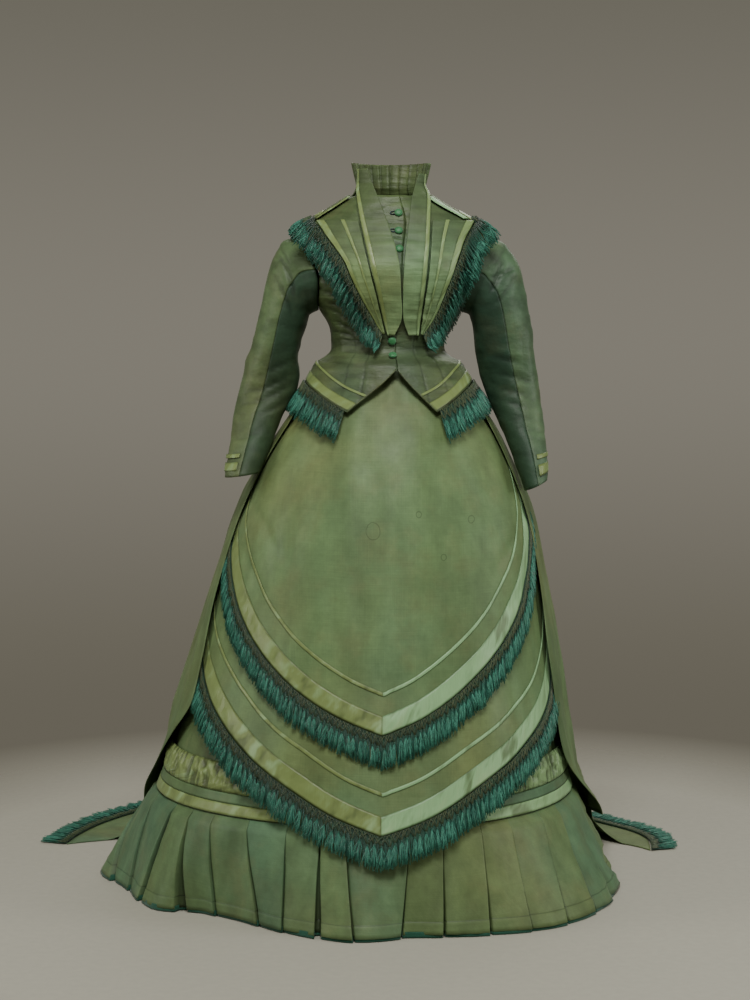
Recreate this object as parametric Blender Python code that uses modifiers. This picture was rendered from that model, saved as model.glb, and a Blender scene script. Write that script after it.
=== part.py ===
"""A green silk dress of the 1870s: fitted jacket bodice, bustle skirt with two pointed aprons, and a train.

Metres, +Z up. The front faces -Y, and the origin is the centre of the waist, where the wearer holds
the dress up. Heights in the tables are above the floor. Azimuths are in degrees from the front,
positive towards +X. Every cloth piece is an open surface with a Solidify wall.
"""

import math
from collections import namedtuple

import bmesh
import bpy
from mathutils import Vector

# Driving sizes
WAIST_HEIGHT = 1.10
CLOTH = 0.0016
TRIM = 0.0012
SEAM_GAP = 0.0004
FLOOR_GAP = 0.0012
BUTTON_RADIUS = 0.0085
FRINGE_HEADER = 0.010
FRINGE_LENGTH = 0.064
LOCK_PITCH = 0.036
BACK_LOCK_PITCH = 0.052
STRIP = 0.0022

# How far each layer of the skirt lies outside the base surface: below the hips, and at the waist
SKIRT_TOP = 1.055
LOWER_APRON = (0.0060, -0.0003)
UPPER_APRON = (0.0120, 0.0020)
OVERSKIRT = (0.0195, 0.0046)
HEM_LIFT = 0.010
BASQUE = 0.026

# How far the front trim lies outside the bodice
FACING = 0.0078
REVERS = 0.0092
SHOULDER_COLLAR = 0.0062

# How far in front of the body's axis the sleeve heads reach
SLEEVE_HEAD = 0.088

Ring = namedtuple("Ring", "height left right front back")
Limb = namedtuple("Limb", "out_x out_z in_x in_z y deep tuck")
Fold = namedtuple("Fold", "azimuth value")
Cut = namedtuple("Cut", "height inner outer")

# Half widths and depths of the skirt's base surface
SKIRT = [
    Ring(1.100, 0.1182, 0.1088, 0.0976, 0.1012),
    Ring(1.060, 0.1300, 0.122, 0.108, 0.116),
    Ring(1.000, 0.160, 0.156, 0.134, 0.185),
    Ring(0.950, 0.190, 0.186, 0.162, 0.255),
    Ring(0.866, 0.244, 0.230, 0.200, 0.330),
    Ring(0.750, 0.302, 0.276, 0.242, 0.365),
    Ring(0.600, 0.350, 0.306, 0.288, 0.390),
    Ring(0.450, 0.392, 0.330, 0.330, 0.430),
    Ring(0.320, 0.434, 0.346, 0.362, 0.480),
    Ring(0.200, 0.478, 0.372, 0.395, 0.560),
    Ring(0.100, 0.522, 0.415, 0.432, 0.620),
    Ring(0.000, 0.560, 0.462, 0.468, 0.680),
]

# The bodice above the waist
TORSO = [
    Ring(1.100, 0.1225, 0.113, 0.102, 0.106),
    Ring(1.130, 0.1255, 0.118, 0.106, 0.106),
    Ring(1.160, 0.1400, 0.133, 0.118, 0.114),
    Ring(1.200, 0.1640, 0.158, 0.138, 0.126),
    Ring(1.245, 0.1780, 0.176, 0.148, 0.132),
    Ring(1.290, 0.1900, 0.190, 0.132, 0.130),
    Ring(1.320, 0.1960, 0.196, 0.114, 0.120),
    Ring(1.350, 0.1700, 0.178, 0.098, 0.108),
    Ring(1.385, 0.1150, 0.117, 0.082, 0.092),
    Ring(1.410, 0.0780, 0.080, 0.070, 0.078),
    Ring(1.430, 0.0640, 0.068, 0.062, 0.068),
]
BASQUE_TOP = 1.092
BASQUE_FULL = 1.045

# Sleeve sections: outer and inner point as seen from the front, centre and half depth along Y,
# and how far the section's front and back are pulled in to meet the armhole
LEFT_SLEEVE = [
    Limb(-0.2290, 1.307, -0.1690, 1.158, 0.000, 0.072, 0.012),
    Limb(-0.2500, 1.262, -0.1730, 1.142, 0.000, 0.069, 0.004),
    Limb(-0.2640, 1.190, -0.1800, 1.118, 0.000, 0.063, 0.000),
    Limb(-0.2860, 1.100, -0.1880, 1.075, 0.002, 0.058, 0.000),
    Limb(-0.3160, 1.005, -0.1940, 1.008, 0.000, 0.053, 0.000),
    Limb(-0.3260, 0.935, -0.2250, 0.950, -0.030, 0.047, 0.000),
    Limb(-0.3320, 0.875, -0.2480, 0.885, -0.066, 0.042, 0.000),
    Limb(-0.3360, 0.829, -0.2660, 0.838, -0.094, 0.039, 0.000),
]
RIGHT_SLEEVE = [
    Limb(0.2430, 1.304, 0.1650, 1.158, 0.000, 0.073, 0.012),
    Limb(0.2670, 1.262, 0.1690, 1.140, 0.000, 0.070, 0.004),
    Limb(0.2840, 1.190, 0.1730, 1.112, 0.000, 0.064, 0.000),
    Limb(0.2990, 1.100, 0.1800, 1.070, 0.002, 0.059, 0.000),
    Limb(0.3100, 1.020, 0.2000, 1.000, 0.000, 0.053, 0.000),
    Limb(0.3160, 0.940, 0.2270, 0.935, -0.030, 0.048, 0.000),
    Limb(0.3200, 0.880, 0.2520, 0.868, -0.064, 0.044, 0.000),
    Limb(0.3200, 0.824, 0.2740, 0.802, -0.092, 0.041, 0.000),
]
ARMHOLE_LOW = 1.172
ARMHOLE_HIGH = 1.318
ARMHOLE_WIDE = 34.0
ARMHOLE_STEPS = 6
SLEEVE_SEAT = 0.0024

# Lower edge of the basque, and hem heights of the two aprons
BASQUE_HEM = [
    Fold(-180, 0.985), Fold(-135, 0.990), Fold(-90, 1.012), Fold(-62, 0.998), Fold(-24, 0.951),
    Fold(5, 1.038), Fold(27, 0.951), Fold(60, 0.996), Fold(90, 1.012), Fold(135, 0.990), Fold(180, 0.985),
]
UPPER_HEM = [
    Fold(-88, 0.820), Fold(-80, 0.735), Fold(-70, 0.660), Fold(-58, 0.588), Fold(-45, 0.518),
    Fold(-30, 0.446), Fold(-15, 0.389), Fold(-2, 0.352), Fold(11, 0.386), Fold(26, 0.442),
    Fold(42, 0.515), Fold(56, 0.595), Fold(70, 0.705), Fold(80, 0.790), Fold(88, 0.850),
]
LOWER_HEM = [
    Fold(-88, 0.520), Fold(-70, 0.440), Fold(-54, 0.374), Fold(-46, 0.340), Fold(-36, 0.297),
    Fold(-24, 0.250), Fold(-13, 0.206), Fold(-2, 0.172), Fold(12, 0.205), Fold(28, 0.257),
    Fold(44, 0.308), Fold(60, 0.364), Fold(74, 0.432), Fold(88, 0.500),
]
WIDE_BAND = 0.032
PLAIN_STRIP = 0.036
PIPING = 0.007

# Edges of the front trim: x on the chest at each height
LEFT_FACING = [
    Cut(1.462, -0.060, -0.042), Cut(1.434, -0.062, -0.035), Cut(1.405, -0.066, -0.026),
    Cut(1.360, -0.062, -0.010), Cut(1.310, -0.052, 0.006), Cut(1.262, -0.040, 0.0175),
    Cut(1.205, -0.025, 0.0215), Cut(1.150, -0.013, 0.0215), Cut(1.118, -0.005, 0.0080),
]
RIGHT_FACING = [
    Cut(1.452, 0.067, 0.054), Cut(1.430, 0.066, 0.049), Cut(1.405, 0.078, 0.044),
    Cut(1.360, 0.081, 0.039), Cut(1.310, 0.079, 0.034), Cut(1.262, 0.074, 0.0285),
    Cut(1.205, 0.067, 0.0255), Cut(1.150, 0.059, 0.0265), Cut(1.118, 0.055, 0.0360),
]
LEFT_REVERS = [
    Cut(1.348, -0.149, -0.0635), Cut(1.312, -0.123, -0.0555), Cut(1.266, -0.090, -0.0445),
    Cut(1.218, -0.067, -0.0315), Cut(1.168, -0.040, -0.0195), Cut(1.122, -0.014, -0.0095),
]
RIGHT_REVERS = [
    Cut(1.348, 0.170, 0.0845), Cut(1.312, 0.149, 0.0825), Cut(1.266, 0.131, 0.0785),
    Cut(1.218, 0.112, 0.0725), Cut(1.168, 0.091, 0.0645), Cut(1.120, 0.0625, 0.0585),
]
CENTRE_LINE = [Fold(1.04, 4.5), Fold(1.10, 5.5), Fold(1.20, 8.0), Fold(1.30, 8.0), Fold(1.405, 13.0)]
FACING_SHARES = [0.0, 0.03, 0.20, 0.60, 1.0]
REVERS_SHARES = [0.0, 0.02, 0.22, 0.60, 0.70, 1.0]
LEFT_FRONT_COLUMNS = [5.3, -10.0, -24.0, -41.0, -57.0, -73.0, -89.7]
RIGHT_FRONT_COLUMNS = [5.7, 16.0, 27.0, 43.0, 58.0, 73.0, 89.7]
BACK_COLUMNS = [179.8, 160.0, 136.0, 112.0, 90.3]
BASQUE_RISE = [0.0, 0.003, 0.022, 0.040, 0.046]
COLLAR_EDGE = [
    Fold(68, 1.351), Fold(80, 1.358), Fold(90, 1.359), Fold(115, 1.345), Fold(150, 1.300),
    Fold(180, 1.285), Fold(210, 1.300), Fold(245, 1.345), Fold(270, 1.359), Fold(280, 1.358),
    Fold(292, 1.351),
]
COLLAR_TOP = 1.404
BUTTONS = [
    (0.0175, 1.367, 0.0003), (0.0175, 1.330, -0.0002), (0.0190, 1.292, -0.0002),
    (0.0040, 1.106, 0.0003), (0.0050, 1.072, 0.0030),
]

# The flounce: where its pleats fold, and how far its hem swings in and out
PLEAT_FOLDS = [
    -87, -78, -70, -61, -53, -45.5, -38, -28, -18.5, -9, 2, 13, 23.6, 34.5, 42.4, 51, 59, 70, 81,
]
BACK_PLEATS = 11
FLOUNCE_TOP = 0.188
FLOUNCE_STAND = 0.0085
PLEAT_DEPTH_HEM = 0.022
HEM_WAVE = [
    Fold(-140, 0.0), Fold(-92, 0.040), Fold(-72, -0.012), Fold(-55, 0.0), Fold(-44, -0.052),
    Fold(-34, -0.050), Fold(-20, -0.012), Fold(-6, 0.018), Fold(5, -0.012), Fold(20, 0.004),
    Fold(42, 0.034), Fold(58, 0.026), Fold(80, 0.0), Fold(100, -0.008), Fold(140, 0.0),
]
FOUNDATION_IN = 0.105
FOUNDATION_EASE = 0.0030

# The train: where its edge lies on the floor, and its folds
TRAIN_EDGE = [
    Fold(102, 0.590), Fold(109, 0.630), Fold(122, 0.630), Fold(137, 0.640), Fold(152, 0.730),
    Fold(180, 0.880), Fold(205, 0.850), Fold(230, 0.790), Fold(246, 0.765), Fold(255, 0.745),
]
TRAIN_HEIGHTS = [1.055, 0.97, 0.86, 0.74, 0.60, 0.46, 0.33, 0.21, 0.12, 0.05]
TRAIN_SHARES = [1.30, 1.65, 2.0]
LEFT_FRONT_EDGE = [
    Fold(0.0, 246), Fold(0.09, 252), Fold(0.20, 269), Fold(0.30, 284), Fold(0.38, 293),
    Fold(0.46, 291), Fold(0.60, 287), Fold(0.80, 288), Fold(1.06, 290),
]
RIGHT_FRONT_EDGE = [
    Fold(0.0, 112), Fold(0.10, 98), Fold(0.20, 81), Fold(0.26, 71), Fold(0.38, 69),
    Fold(0.48, 68), Fold(0.60, 71), Fold(0.80, 72), Fold(1.06, 70),
]
TRAIN_LIFT = 0.026
TRAIN_FOLD_DEPTH = 0.013
TRAIN_CORNERS = (102, 255)
TRAIN_FOLDS = 11
TRAIN_COLUMNS = 34

PALETTE = {
    "taffeta": ((0.115, 0.185, 0.100), 0.45),
    "satin": ((0.270, 0.390, 0.180), 0.30),
    "fringe": ((0.018, 0.135, 0.110), 0.70),
    "button": ((0.035, 0.170, 0.050), 0.50),
    "braid": ((0.004, 0.100, 0.050), 0.80),
}


def clear_scene():
    for item in list(bpy.data.objects):
        bpy.data.objects.remove(item)


def make_material(name):
    colour, roughness = PALETTE[name]
    material = bpy.data.materials.new(name)
    material.use_nodes = True
    shader = material.node_tree.nodes["Principled BSDF"]
    shader.inputs["Base Color"].default_value = (*colour, 1.0)
    shader.inputs["Roughness"].default_value = roughness
    shader.inputs["Metallic"].default_value = 0.0
    return material


def smooth(table, x, column=1):
    """A smooth curve through one column of a table whose first column rises or falls."""
    keys = [row[0] for row in table]
    if keys[0] > keys[-1]:
        return smooth(table[::-1], x, column)
    values = [row[column] for row in table]
    if x <= keys[0]:
        return values[0]
    if x >= keys[-1]:
        return values[-1]
    k = max(i for i in range(len(keys) - 1) if keys[i] <= x)

    def slope(i):
        if i == 0 or i == len(keys) - 1:
            j = min(max(i, 1), len(keys) - 1)
            return (values[j] - values[j - 1]) / (keys[j] - keys[j - 1])
        before = (values[i] - values[i - 1]) / (keys[i] - keys[i - 1])
        after = (values[i + 1] - values[i]) / (keys[i + 1] - keys[i])
        return 0.0 if before * after < 0 else (before + after) / 2

    span = keys[k + 1] - keys[k]
    t = (x - keys[k]) / span
    start = (2 * t**3 - 3 * t**2 + 1) * values[k] + (t**3 - 2 * t**2 + t) * span * slope(k)
    end = (-2 * t**3 + 3 * t**2) * values[k + 1] + (t**3 - t**2) * span * slope(k + 1)
    return start + end


def spread(first, last, count):
    return [first + (last - first) * i / (count - 1) for i in range(count)]


def ease(x, low, high):
    t = min(max((x - low) / (high - low), 0.0), 1.0)
    return t * t * (3 - 2 * t)


def ring_point(table, azimuth, height):
    """A point of an oval section, each quarter with its own half axes."""
    angle = math.radians(azimuth)
    across = smooth(table, height, 2 if math.sin(angle) > 0 else 1)
    along = smooth(table, height, 3 if math.cos(angle) > 0 else 4)
    return Vector((across * math.sin(angle), -along * math.cos(angle), height))


def torso_base(azimuth, height):
    """The bodice: its own sections above the waist, the skirt's moved out below it."""
    if height >= BASQUE_TOP:
        return ring_point(TORSO, azimuth, height)
    skirt = moved(skirt_base, azimuth, height, BASQUE)
    if height <= BASQUE_FULL:
        return skirt
    share = ease(height, BASQUE_FULL, BASQUE_TOP)
    return skirt.lerp(ring_point(TORSO, azimuth, height), share)


def skirt_base(azimuth, height):
    return ring_point(SKIRT, azimuth, height)


def moved(surface, azimuth, height, out):
    """A point of a surface, moved out along its normal."""
    here = surface(azimuth, height)
    if out == 0:
        return here
    across = surface(azimuth + 0.5, height) - surface(azimuth - 0.5, height)
    up = surface(azimuth, height + 0.002) - surface(azimuth, height - 0.002)
    return here + across.cross(up).normalized() * out


def tucked(level, top, layer, at_waist):
    """How far out a skirt layer lies: close to the one beneath at the waist, full below the hips."""
    return at_waist + (layer - at_waist) * (1 - ease(level, 0.96, top))


def on_floor(point):
    return Vector((point.x, point.y, point.z - WAIST_HEIGHT))


def add_object(name, mesh, material):
    item = bpy.data.objects.new(name, mesh)
    mesh.materials.append(material)
    DRESS.objects.link(item)
    return item


def add_sheet(name, rows, wall, material, closed=False):
    """A cloth wall. rows go from top to bottom, and each row's points run towards rising azimuth."""
    count = len(rows[0])
    mesh = bpy.data.meshes.new(name)
    points = [on_floor(point) for row in rows for point in row]
    steps = count if closed else count - 1
    faces = []
    for r in range(len(rows) - 1):
        for c in range(steps):
            d = (c + 1) % count
            faces.append((r * count + c, (r + 1) * count + c, (r + 1) * count + d, r * count + d))
    mesh.from_pydata(points, [], faces)
    mesh.update()
    mesh.shade_smooth()
    item = add_object(name, mesh, material)
    shell = item.modifiers.new("Wall", "SOLIDIFY")
    shell.thickness = wall
    shell.offset = -1.0
    shell.use_even_offset = False
    return item


def add_fringe(name, place, length_along, material, drop=FRINGE_LENGTH, pitch=LOCK_PITCH):
    """A narrow strip with hanging locks. place(s, drop) gives the front point and its normal."""
    locks = max(2, round(length_along / pitch))
    steps = 2 * locks + 1
    mesh = bmesh.new()
    columns = []
    for i in range(steps):
        s = i / (steps - 1)
        corners = []
        for down, depth in ((0.0, 0.0), (FRINGE_HEADER, STRIP), (FRINGE_HEADER, 0.0)):
            point, normal = place(s, down)
            corners.append(mesh.verts.new(on_floor(point - normal * depth)))
        columns.append(corners)
    for i in range(steps - 1):
        a = columns[i]
        b = columns[i + 1]
        mesh.faces.new((a[0], a[2], b[2], b[0]))
        mesh.faces.new((a[1], a[0], b[0], b[1]))
        if i % 2 == 0:
            add_lock(mesh, a, b, place, (i + 0.5) / (steps - 1), drop * (1.0 - 0.08 * (i % 3)))
        else:
            mesh.faces.new((a[2], a[1], b[1], b[2]))
    mesh.faces.new(columns[0])
    mesh.faces.new(columns[-1][::-1])
    bmesh.ops.recalc_face_normals(mesh, faces=mesh.faces)
    data = bpy.data.meshes.new(name)
    mesh.to_mesh(data)
    mesh.free()
    return add_object(name, data, material)


def add_lock(mesh, a, b, place, middle, drop):
    """One lock, grown from the strip's lower face: narrow at the root, wide at its tip."""
    point, normal = place(middle, drop)
    side = (b[2].co - a[2].co) * 0.62
    tip = on_floor(point)
    thick = normal * STRIP
    ends = [mesh.verts.new(tip + side * k - thick * d) for k, d in ((-1, 0), (-1, 1), (1, 1), (1, 0))]
    roots = (a[2], a[1], b[1], b[2])
    for i in range(4):
        j = (i + 1) % 4
        mesh.faces.new((roots[i], roots[j], ends[j], ends[i]))
    mesh.faces.new(ends)


def azimuths(first, last, count):
    return spread(first, last, count)


def underskirt(cloth):
    """The underskirt, from the waist down to the floor inside the flounce."""
    angles = azimuths(-180, 180, 33)[:-1]

    def foundation(azimuth, height):
        inward = FOUNDATION_EASE * (1 - 0.5 * ease(height, 1.05, 1.098))
        inward += FOUNDATION_IN * (1 - ease(height, 0.0, 0.20))
        return moved(skirt_base, azimuth, height, -inward)

    heights = [1.098, 1.05, 0.99, 0.91, 0.80, 0.60, 0.30, 0.184, FLOOR_GAP]
    rows = [[foundation(a, h) for a in angles] for h in heights]
    for point in rows[-1]:
        point.z = FLOOR_GAP
    add_sheet("underskirt", rows, CLOTH, cloth, closed=True)


def hem_bands(cloth, satin):
    """The ruched, plain and satin bands above the flounce, across the front and sides."""
    span = 104
    plain = azimuths(-span, span, 23)
    levels = {"plain_band": (0.2290, 0.2112, cloth), "satin_band": (0.2105, 0.1905, satin)}
    for name, (top, low, material) in levels.items():
        rows = [[moved(skirt_base, a, h, 0.0022) for a in plain] for h in (top, low)]
        add_sheet(name, rows, TRIM, material)
    waves = 28
    ruched = []
    for h, swell in ((0.283, 0.0), (0.257, 1.0), (0.2298, 0.0)):
        row = []
        for i, a in enumerate(azimuths(-span, span, 2 * waves + 1)):
            out = 0.0020 + swell * 0.0020 + (0.0022 if i % 2 else 0.0)
            row.append(moved(skirt_base, a, h, out))
        ruched.append(row)
    add_sheet("ruched_band", ruched, TRIM, satin)


def flounce_folds():
    """Azimuth of each pleat's fold, once round."""
    gap = (PLEAT_FOLDS[0] + 360 - PLEAT_FOLDS[-1]) / BACK_PLEATS
    return PLEAT_FOLDS + [PLEAT_FOLDS[-1] + gap * (i + 1) for i in range(BACK_PLEATS - 1)]


def flounce_point(azimuth, height, sunk):
    """A point of the flounce; sunk is 1 in the recess of a pleat."""
    drop = 1 - height / FLOUNCE_TOP
    depth = PLEAT_DEPTH_HEM * drop
    wrapped = (azimuth + 180) % 360 - 180
    wave = smooth(HEM_WAVE, wrapped) * drop**1.3
    stand = FLOUNCE_STAND * (1 - ease(height, 0.168, FLOUNCE_TOP))
    point = skirt_base(azimuth, height)
    plan = Vector((point.x, point.y, 0)).normalized()
    return point + plan * (stand + wave - depth * sunk)


def flounce(cloth, braid):
    folds = flounce_folds()
    angles = []
    for i, fold in enumerate(folds):
        width = folds[(i + 1) % len(folds)] - fold
        if width < 0:
            width += 360
        angles += [(fold + width * u, sunk) for u, sunk in ((0.10, 0), (0.86, 0), (0.93, 1), (1.02, 1))]
    rows = []
    for h in (FLOUNCE_TOP, 0.165, 0.012):
        rows.append([flounce_point(a, h, sunk) for a, sunk in angles])
    add_sheet("flounce", rows, CLOTH, cloth, closed=True)
    hem = [[flounce_point(a, h, sunk) for a, sunk in angles] for h in (0.0115, FLOOR_GAP)]
    add_sheet("brush_braid", hem, 0.0022, braid, closed=True)


def apron(name, hem, layer, span, columns, cloth, satin, fringe):
    """A pointed apron with its wide band, piping and fringe, all on the same columns."""
    angles = azimuths(-span, span, columns)
    below = [0.0, 0.004, WIDE_BAND, WIDE_BAND + PLAIN_STRIP, WIDE_BAND + PLAIN_STRIP + PIPING]
    top = SKIRT_TOP

    def height(azimuth, up):
        return smooth(hem, azimuth) + up

    def cloth_point(azimuth, level, out=0.0):
        lift = HEM_LIFT * (1 - ease(level, 0.30, 0.46))
        return moved(skirt_base, azimuth, level, tucked(level, SKIRT_TOP, *layer) + lift + out)

    rows = []
    for k in range(4, -1, -1):
        share = (k / 4) ** 1.15
        row = []
        for a in angles:
            start = height(a, below[-1])
            row.append(cloth_point(a, start + (top - start) * share))
        rows.append(row)
    for up in below[-2::-1]:
        rows.append([cloth_point(a, height(a, up)) for a in angles])
    add_sheet(name, rows, CLOTH, cloth)
    trims = (("satin", below[1], below[2]), ("piping", below[3], below[4]))
    for word, low, high in trims:
        out = SEAM_GAP + TRIM
        band = [[cloth_point(a, height(a, up), out) for a in angles] for up in (high, low)]
        add_sheet(name + "_" + word, band, TRIM, satin)

    def place(s, down):
        azimuth = -span + 2 * span * s
        level = height(azimuth, -SEAM_GAP * 2 - down)
        extra = 0.010 * (1 - ease(level, 0.10, 0.20))
        here = cloth_point(azimuth, level, extra)
        away = cloth_point(azimuth, level, extra + 0.01)
        return here, (away - here).normalized()

    edge = [cloth_point(a, height(a, 0)) for a in angles]
    along = sum((b - a).length for a, b in zip(edge, edge[1:]))
    add_fringe(name + "_fringe", place, along, fringe)


def train_point(azimuth, share, fold):
    """Overskirt point. share runs 0 at the waist, 1 at the floor and 2 at the train's edge."""
    low = TRAIN_HEIGHTS[-1]
    height = TRAIN_HEIGHTS[0] + (low - TRAIN_HEIGHTS[0]) * min(share, 1.0)
    out = tucked(height, SKIRT_TOP, *OVERSKIRT) + TRAIN_FOLD_DEPTH * (1 + fold) * ease(share, 0.1, 0.8)
    out += TRAIN_LIFT * (1 - ease(height, 0.05, 0.24))
    if share <= 1.0:
        return moved(skirt_base, azimuth, height, out)
    foot = moved(skirt_base, azimuth, TRAIN_HEIGHTS[-1], out)
    plan = Vector((foot.x, foot.y, 0))
    edge = smooth(TRAIN_EDGE, azimuth)
    t = share - 1.0
    radius = plan.length + (edge - plan.length) * t
    sweep = TRAIN_HEIGHTS[-1] * max(0.0, 1 - 1.9 * t) ** 1.7
    ripple = 0.006 * (1 + fold) * max(0.0, 1 - t) * ease(t, 0.2, 0.5)
    level = FLOOR_GAP + CLOTH + sweep + ripple
    return plan.normalized() * radius + Vector((0, 0, level))


def overskirt(cloth, fringe):
    """Back overskirt: open in front, draped over the bustle, and swept out on the floor."""
    shares = [(TRAIN_HEIGHTS[0] - h) / (TRAIN_HEIGHTS[0] - TRAIN_HEIGHTS[-1]) for h in TRAIN_HEIGHTS]
    shares += TRAIN_SHARES
    rows = []
    for share in shares:
        height = TRAIN_HEIGHTS[0] * (1 - share) + TRAIN_HEIGHTS[-1] * share if share < 1 else 0.0
        laid = max(share - 1.0, 0.0)
        first = smooth(RIGHT_FRONT_EDGE, height)
        first += (TRAIN_CORNERS[0] - first) * laid
        last = smooth(LEFT_FRONT_EDGE, height)
        last += (TRAIN_CORNERS[1] - last) * laid
        row = []
        for i, azimuth in enumerate(azimuths(first, last, TRAIN_COLUMNS)):
            inside = ease(min(i, TRAIN_COLUMNS - 1 - i) / (TRAIN_COLUMNS - 1), 0.0, 0.22)
            fold = math.cos(2 * math.pi * TRAIN_FOLDS * i / (TRAIN_COLUMNS - 1)) * inside + inside - 1
            row.append(train_point(azimuth, share, fold))
        rows.append(row)
    add_sheet("overskirt", rows, CLOTH, cloth)
    first, last = TRAIN_CORNERS

    def place(s, down):
        azimuth = first + (last - first) * s
        edge = train_point(azimuth, 2.0, 0.0)
        plan = Vector((edge.x, edge.y, 0)).normalized()
        point = edge + plan * (SEAM_GAP * 2 + down)
        point.z = FLOOR_GAP + STRIP
        return point, Vector((0, 0, 1))

    add_fringe("train_fringe", place, 2.35, fringe, pitch=BACK_LOCK_PITCH)


def arm_azimuth(height, front):
    """Edge of the armhole at a height, on the front or the back of the body."""
    middle = (ARMHOLE_LOW + ARMHOLE_HIGH) / 2
    half = (ARMHOLE_HIGH - ARMHOLE_LOW) / 2
    reach = 1 - ((height - middle) / half) ** 2
    turn = ARMHOLE_WIDE * math.sqrt(max(reach, 0.0))
    return 90 - turn if front else 90 + turn


def armhole_heights(steps):
    half = (ARMHOLE_HIGH - ARMHOLE_LOW) / 2
    return [ARMHOLE_LOW + half * (1 - math.cos(math.pi * k / steps)) for k in range(steps + 1)]


def panel_rows(columns, heights, front, side):
    """Rows of a bodice panel: its outer column follows the armhole between the armpit and shoulder."""
    rows = []
    for level in heights:
        inner = smooth(CENTRE_LINE, level) + side * 0.2 if front else columns[0]
        outer = columns[-1]
        if ARMHOLE_LOW < level < ARMHOLE_HIGH:
            outer = side * arm_azimuth(level, front)
        stretch = (outer - inner) / (columns[-1] - columns[0])
        rows.append([torso_base(inner + (a - columns[0]) * stretch, level) for a in columns])
    return rows


def bodice(cloth, satin):
    """Fronts with their basque points and trim, and backs, each with its own columns."""
    upper = [1.4050, 1.370, 1.338] + armhole_heights(ARMHOLE_STEPS)[::-1] + [1.145, 1.120, 1.098]
    trims = (("satin", BASQUE_RISE[1], BASQUE_RISE[2]), ("piping", BASQUE_RISE[3], BASQUE_RISE[4]))
    for word, side, columns in (("left", -1, LEFT_FRONT_COLUMNS), ("right", 1, RIGHT_FRONT_COLUMNS)):

        def hem_row(turns, up, out=0.0):
            return [moved(torso_base, a, smooth(BASQUE_HEM, a) + up, out) for a in turns]

        rows = panel_rows(columns, upper, True, side)
        rows += [hem_row(columns, up) for up in BASQUE_RISE[::-1]]
        add_sheet("bodice_front_" + word, rows if side > 0 else [r[::-1] for r in rows], CLOTH, cloth)
        for part, low, high in trims:
            band = [hem_row(columns[2:], up, SEAM_GAP + TRIM) for up in (high, low)]
            band = band if side > 0 else [r[::-1] for r in band]
            add_sheet("basque_" + part + "_" + word, band, TRIM, satin)
        back = [side * a for a in BACK_COLUMNS]
        rows = panel_rows(back, upper, False, side)
        rows += [[torso_base(a, smooth(BASQUE_HEM, a) + up) for a in back] for up in (0.040, 0.0)]
        add_sheet("bodice_back_" + word, rows if side < 0 else [r[::-1] for r in rows], CLOTH, cloth)


def sleeve_point(rings, side, k, turn):
    """Point of sleeve section k, the armhole first; turn 0 is the outer side, 90 degrees the front."""
    angle = math.radians(turn)
    if k == 0:
        middle = (ARMHOLE_LOW + ARMHOLE_HIGH) / 2
        height = middle + (ARMHOLE_HIGH - middle) * math.cos(angle)
        azimuth = side * (90 - ARMHOLE_WIDE * math.sin(angle))
        return moved(torso_base, azimuth, height, SLEEVE_SEAT)
    ring = rings[k - 1]
    outer = Vector((ring.out_x, ring.y, ring.out_z))
    inner = Vector((ring.in_x, ring.y, ring.in_z))
    point = (outer + inner) / 2 + (outer - inner) / 2 * math.cos(angle)
    point.y -= ring.deep * math.sin(angle)
    point.x -= side * ring.tuck * math.sin(angle) ** 2
    return point


def sleeves(cloth, satin):
    """Two-piece sleeves: upper and under half, split along the front and back seams."""
    for side, word, rings in ((-1, "left", LEFT_SLEEVE), (1, "right", RIGHT_SLEEVE)):
        for part, first, last in (("upper", -112.0, 100.0), ("under", 102.2, 245.8)):
            count = 9 if part == "upper" else 6
            rows = []
            for k in range(len(rings) + 1):
                turns = azimuths(first, last, count)
                row = [sleeve_point(rings, side, k, turn) for turn in turns]
                rows.append(row if side < 0 else row[::-1])
            add_sheet("sleeve_" + part + "_" + word, rows, CLOTH, cloth)
        cuff = len(rings) - 1
        for band, low, high in (("a", 0.00, 0.16), ("b", 0.34, 0.72)):
            rows = []
            for share in (low, high):
                row = []
                for turn in azimuths(-72.0, 72.0, 7):
                    upper = sleeve_point(rings, side, cuff - 1, turn)
                    lower = sleeve_point(rings, side, cuff, turn)
                    centre = sleeve_point(rings, side, cuff, 0) / 2 + sleeve_point(rings, side, cuff, 180) / 2
                    point = upper.lerp(lower, share)
                    away = (lower - centre).normalized()
                    row.append(point + away * 0.0032)
                rows.append(row if side < 0 else row[::-1])
            add_sheet("cuff_band_" + band + "_" + word, rows, TRIM, satin)


def chest_point(x, height, out, guard=0.0):
    """A point of the bodice's front by its x, moved out. guard keeps it clear of the sleeve heads."""
    half = smooth(TORSO, height, 2 if x > 0 else 1)
    azimuth = math.degrees(math.asin(max(-0.985, min(0.985, x / half))))
    point = moved(torso_base, azimuth, height, out)
    beyond = abs(x) - 0.985 * half
    if beyond > 0:
        point.x += math.copysign(beyond, x)
    guard *= ease(abs(x), 0.115, 0.165) * ease(height, 1.15, 1.21)
    point.y = min(point.y, -guard - out)
    return point


def strip_rows(cuts, shares, out):
    """Rows across a front trim; a share of 0 is its inner column in the table and 1 its outer."""
    rows = []
    for cut in cuts:
        row = []
        for t in shares:
            row.append(chest_point(cut.inner + (cut.outer - cut.inner) * t, cut.height, out))
        rows.append(row if row[0].x < row[-1].x else row[::-1])
    return rows


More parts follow.
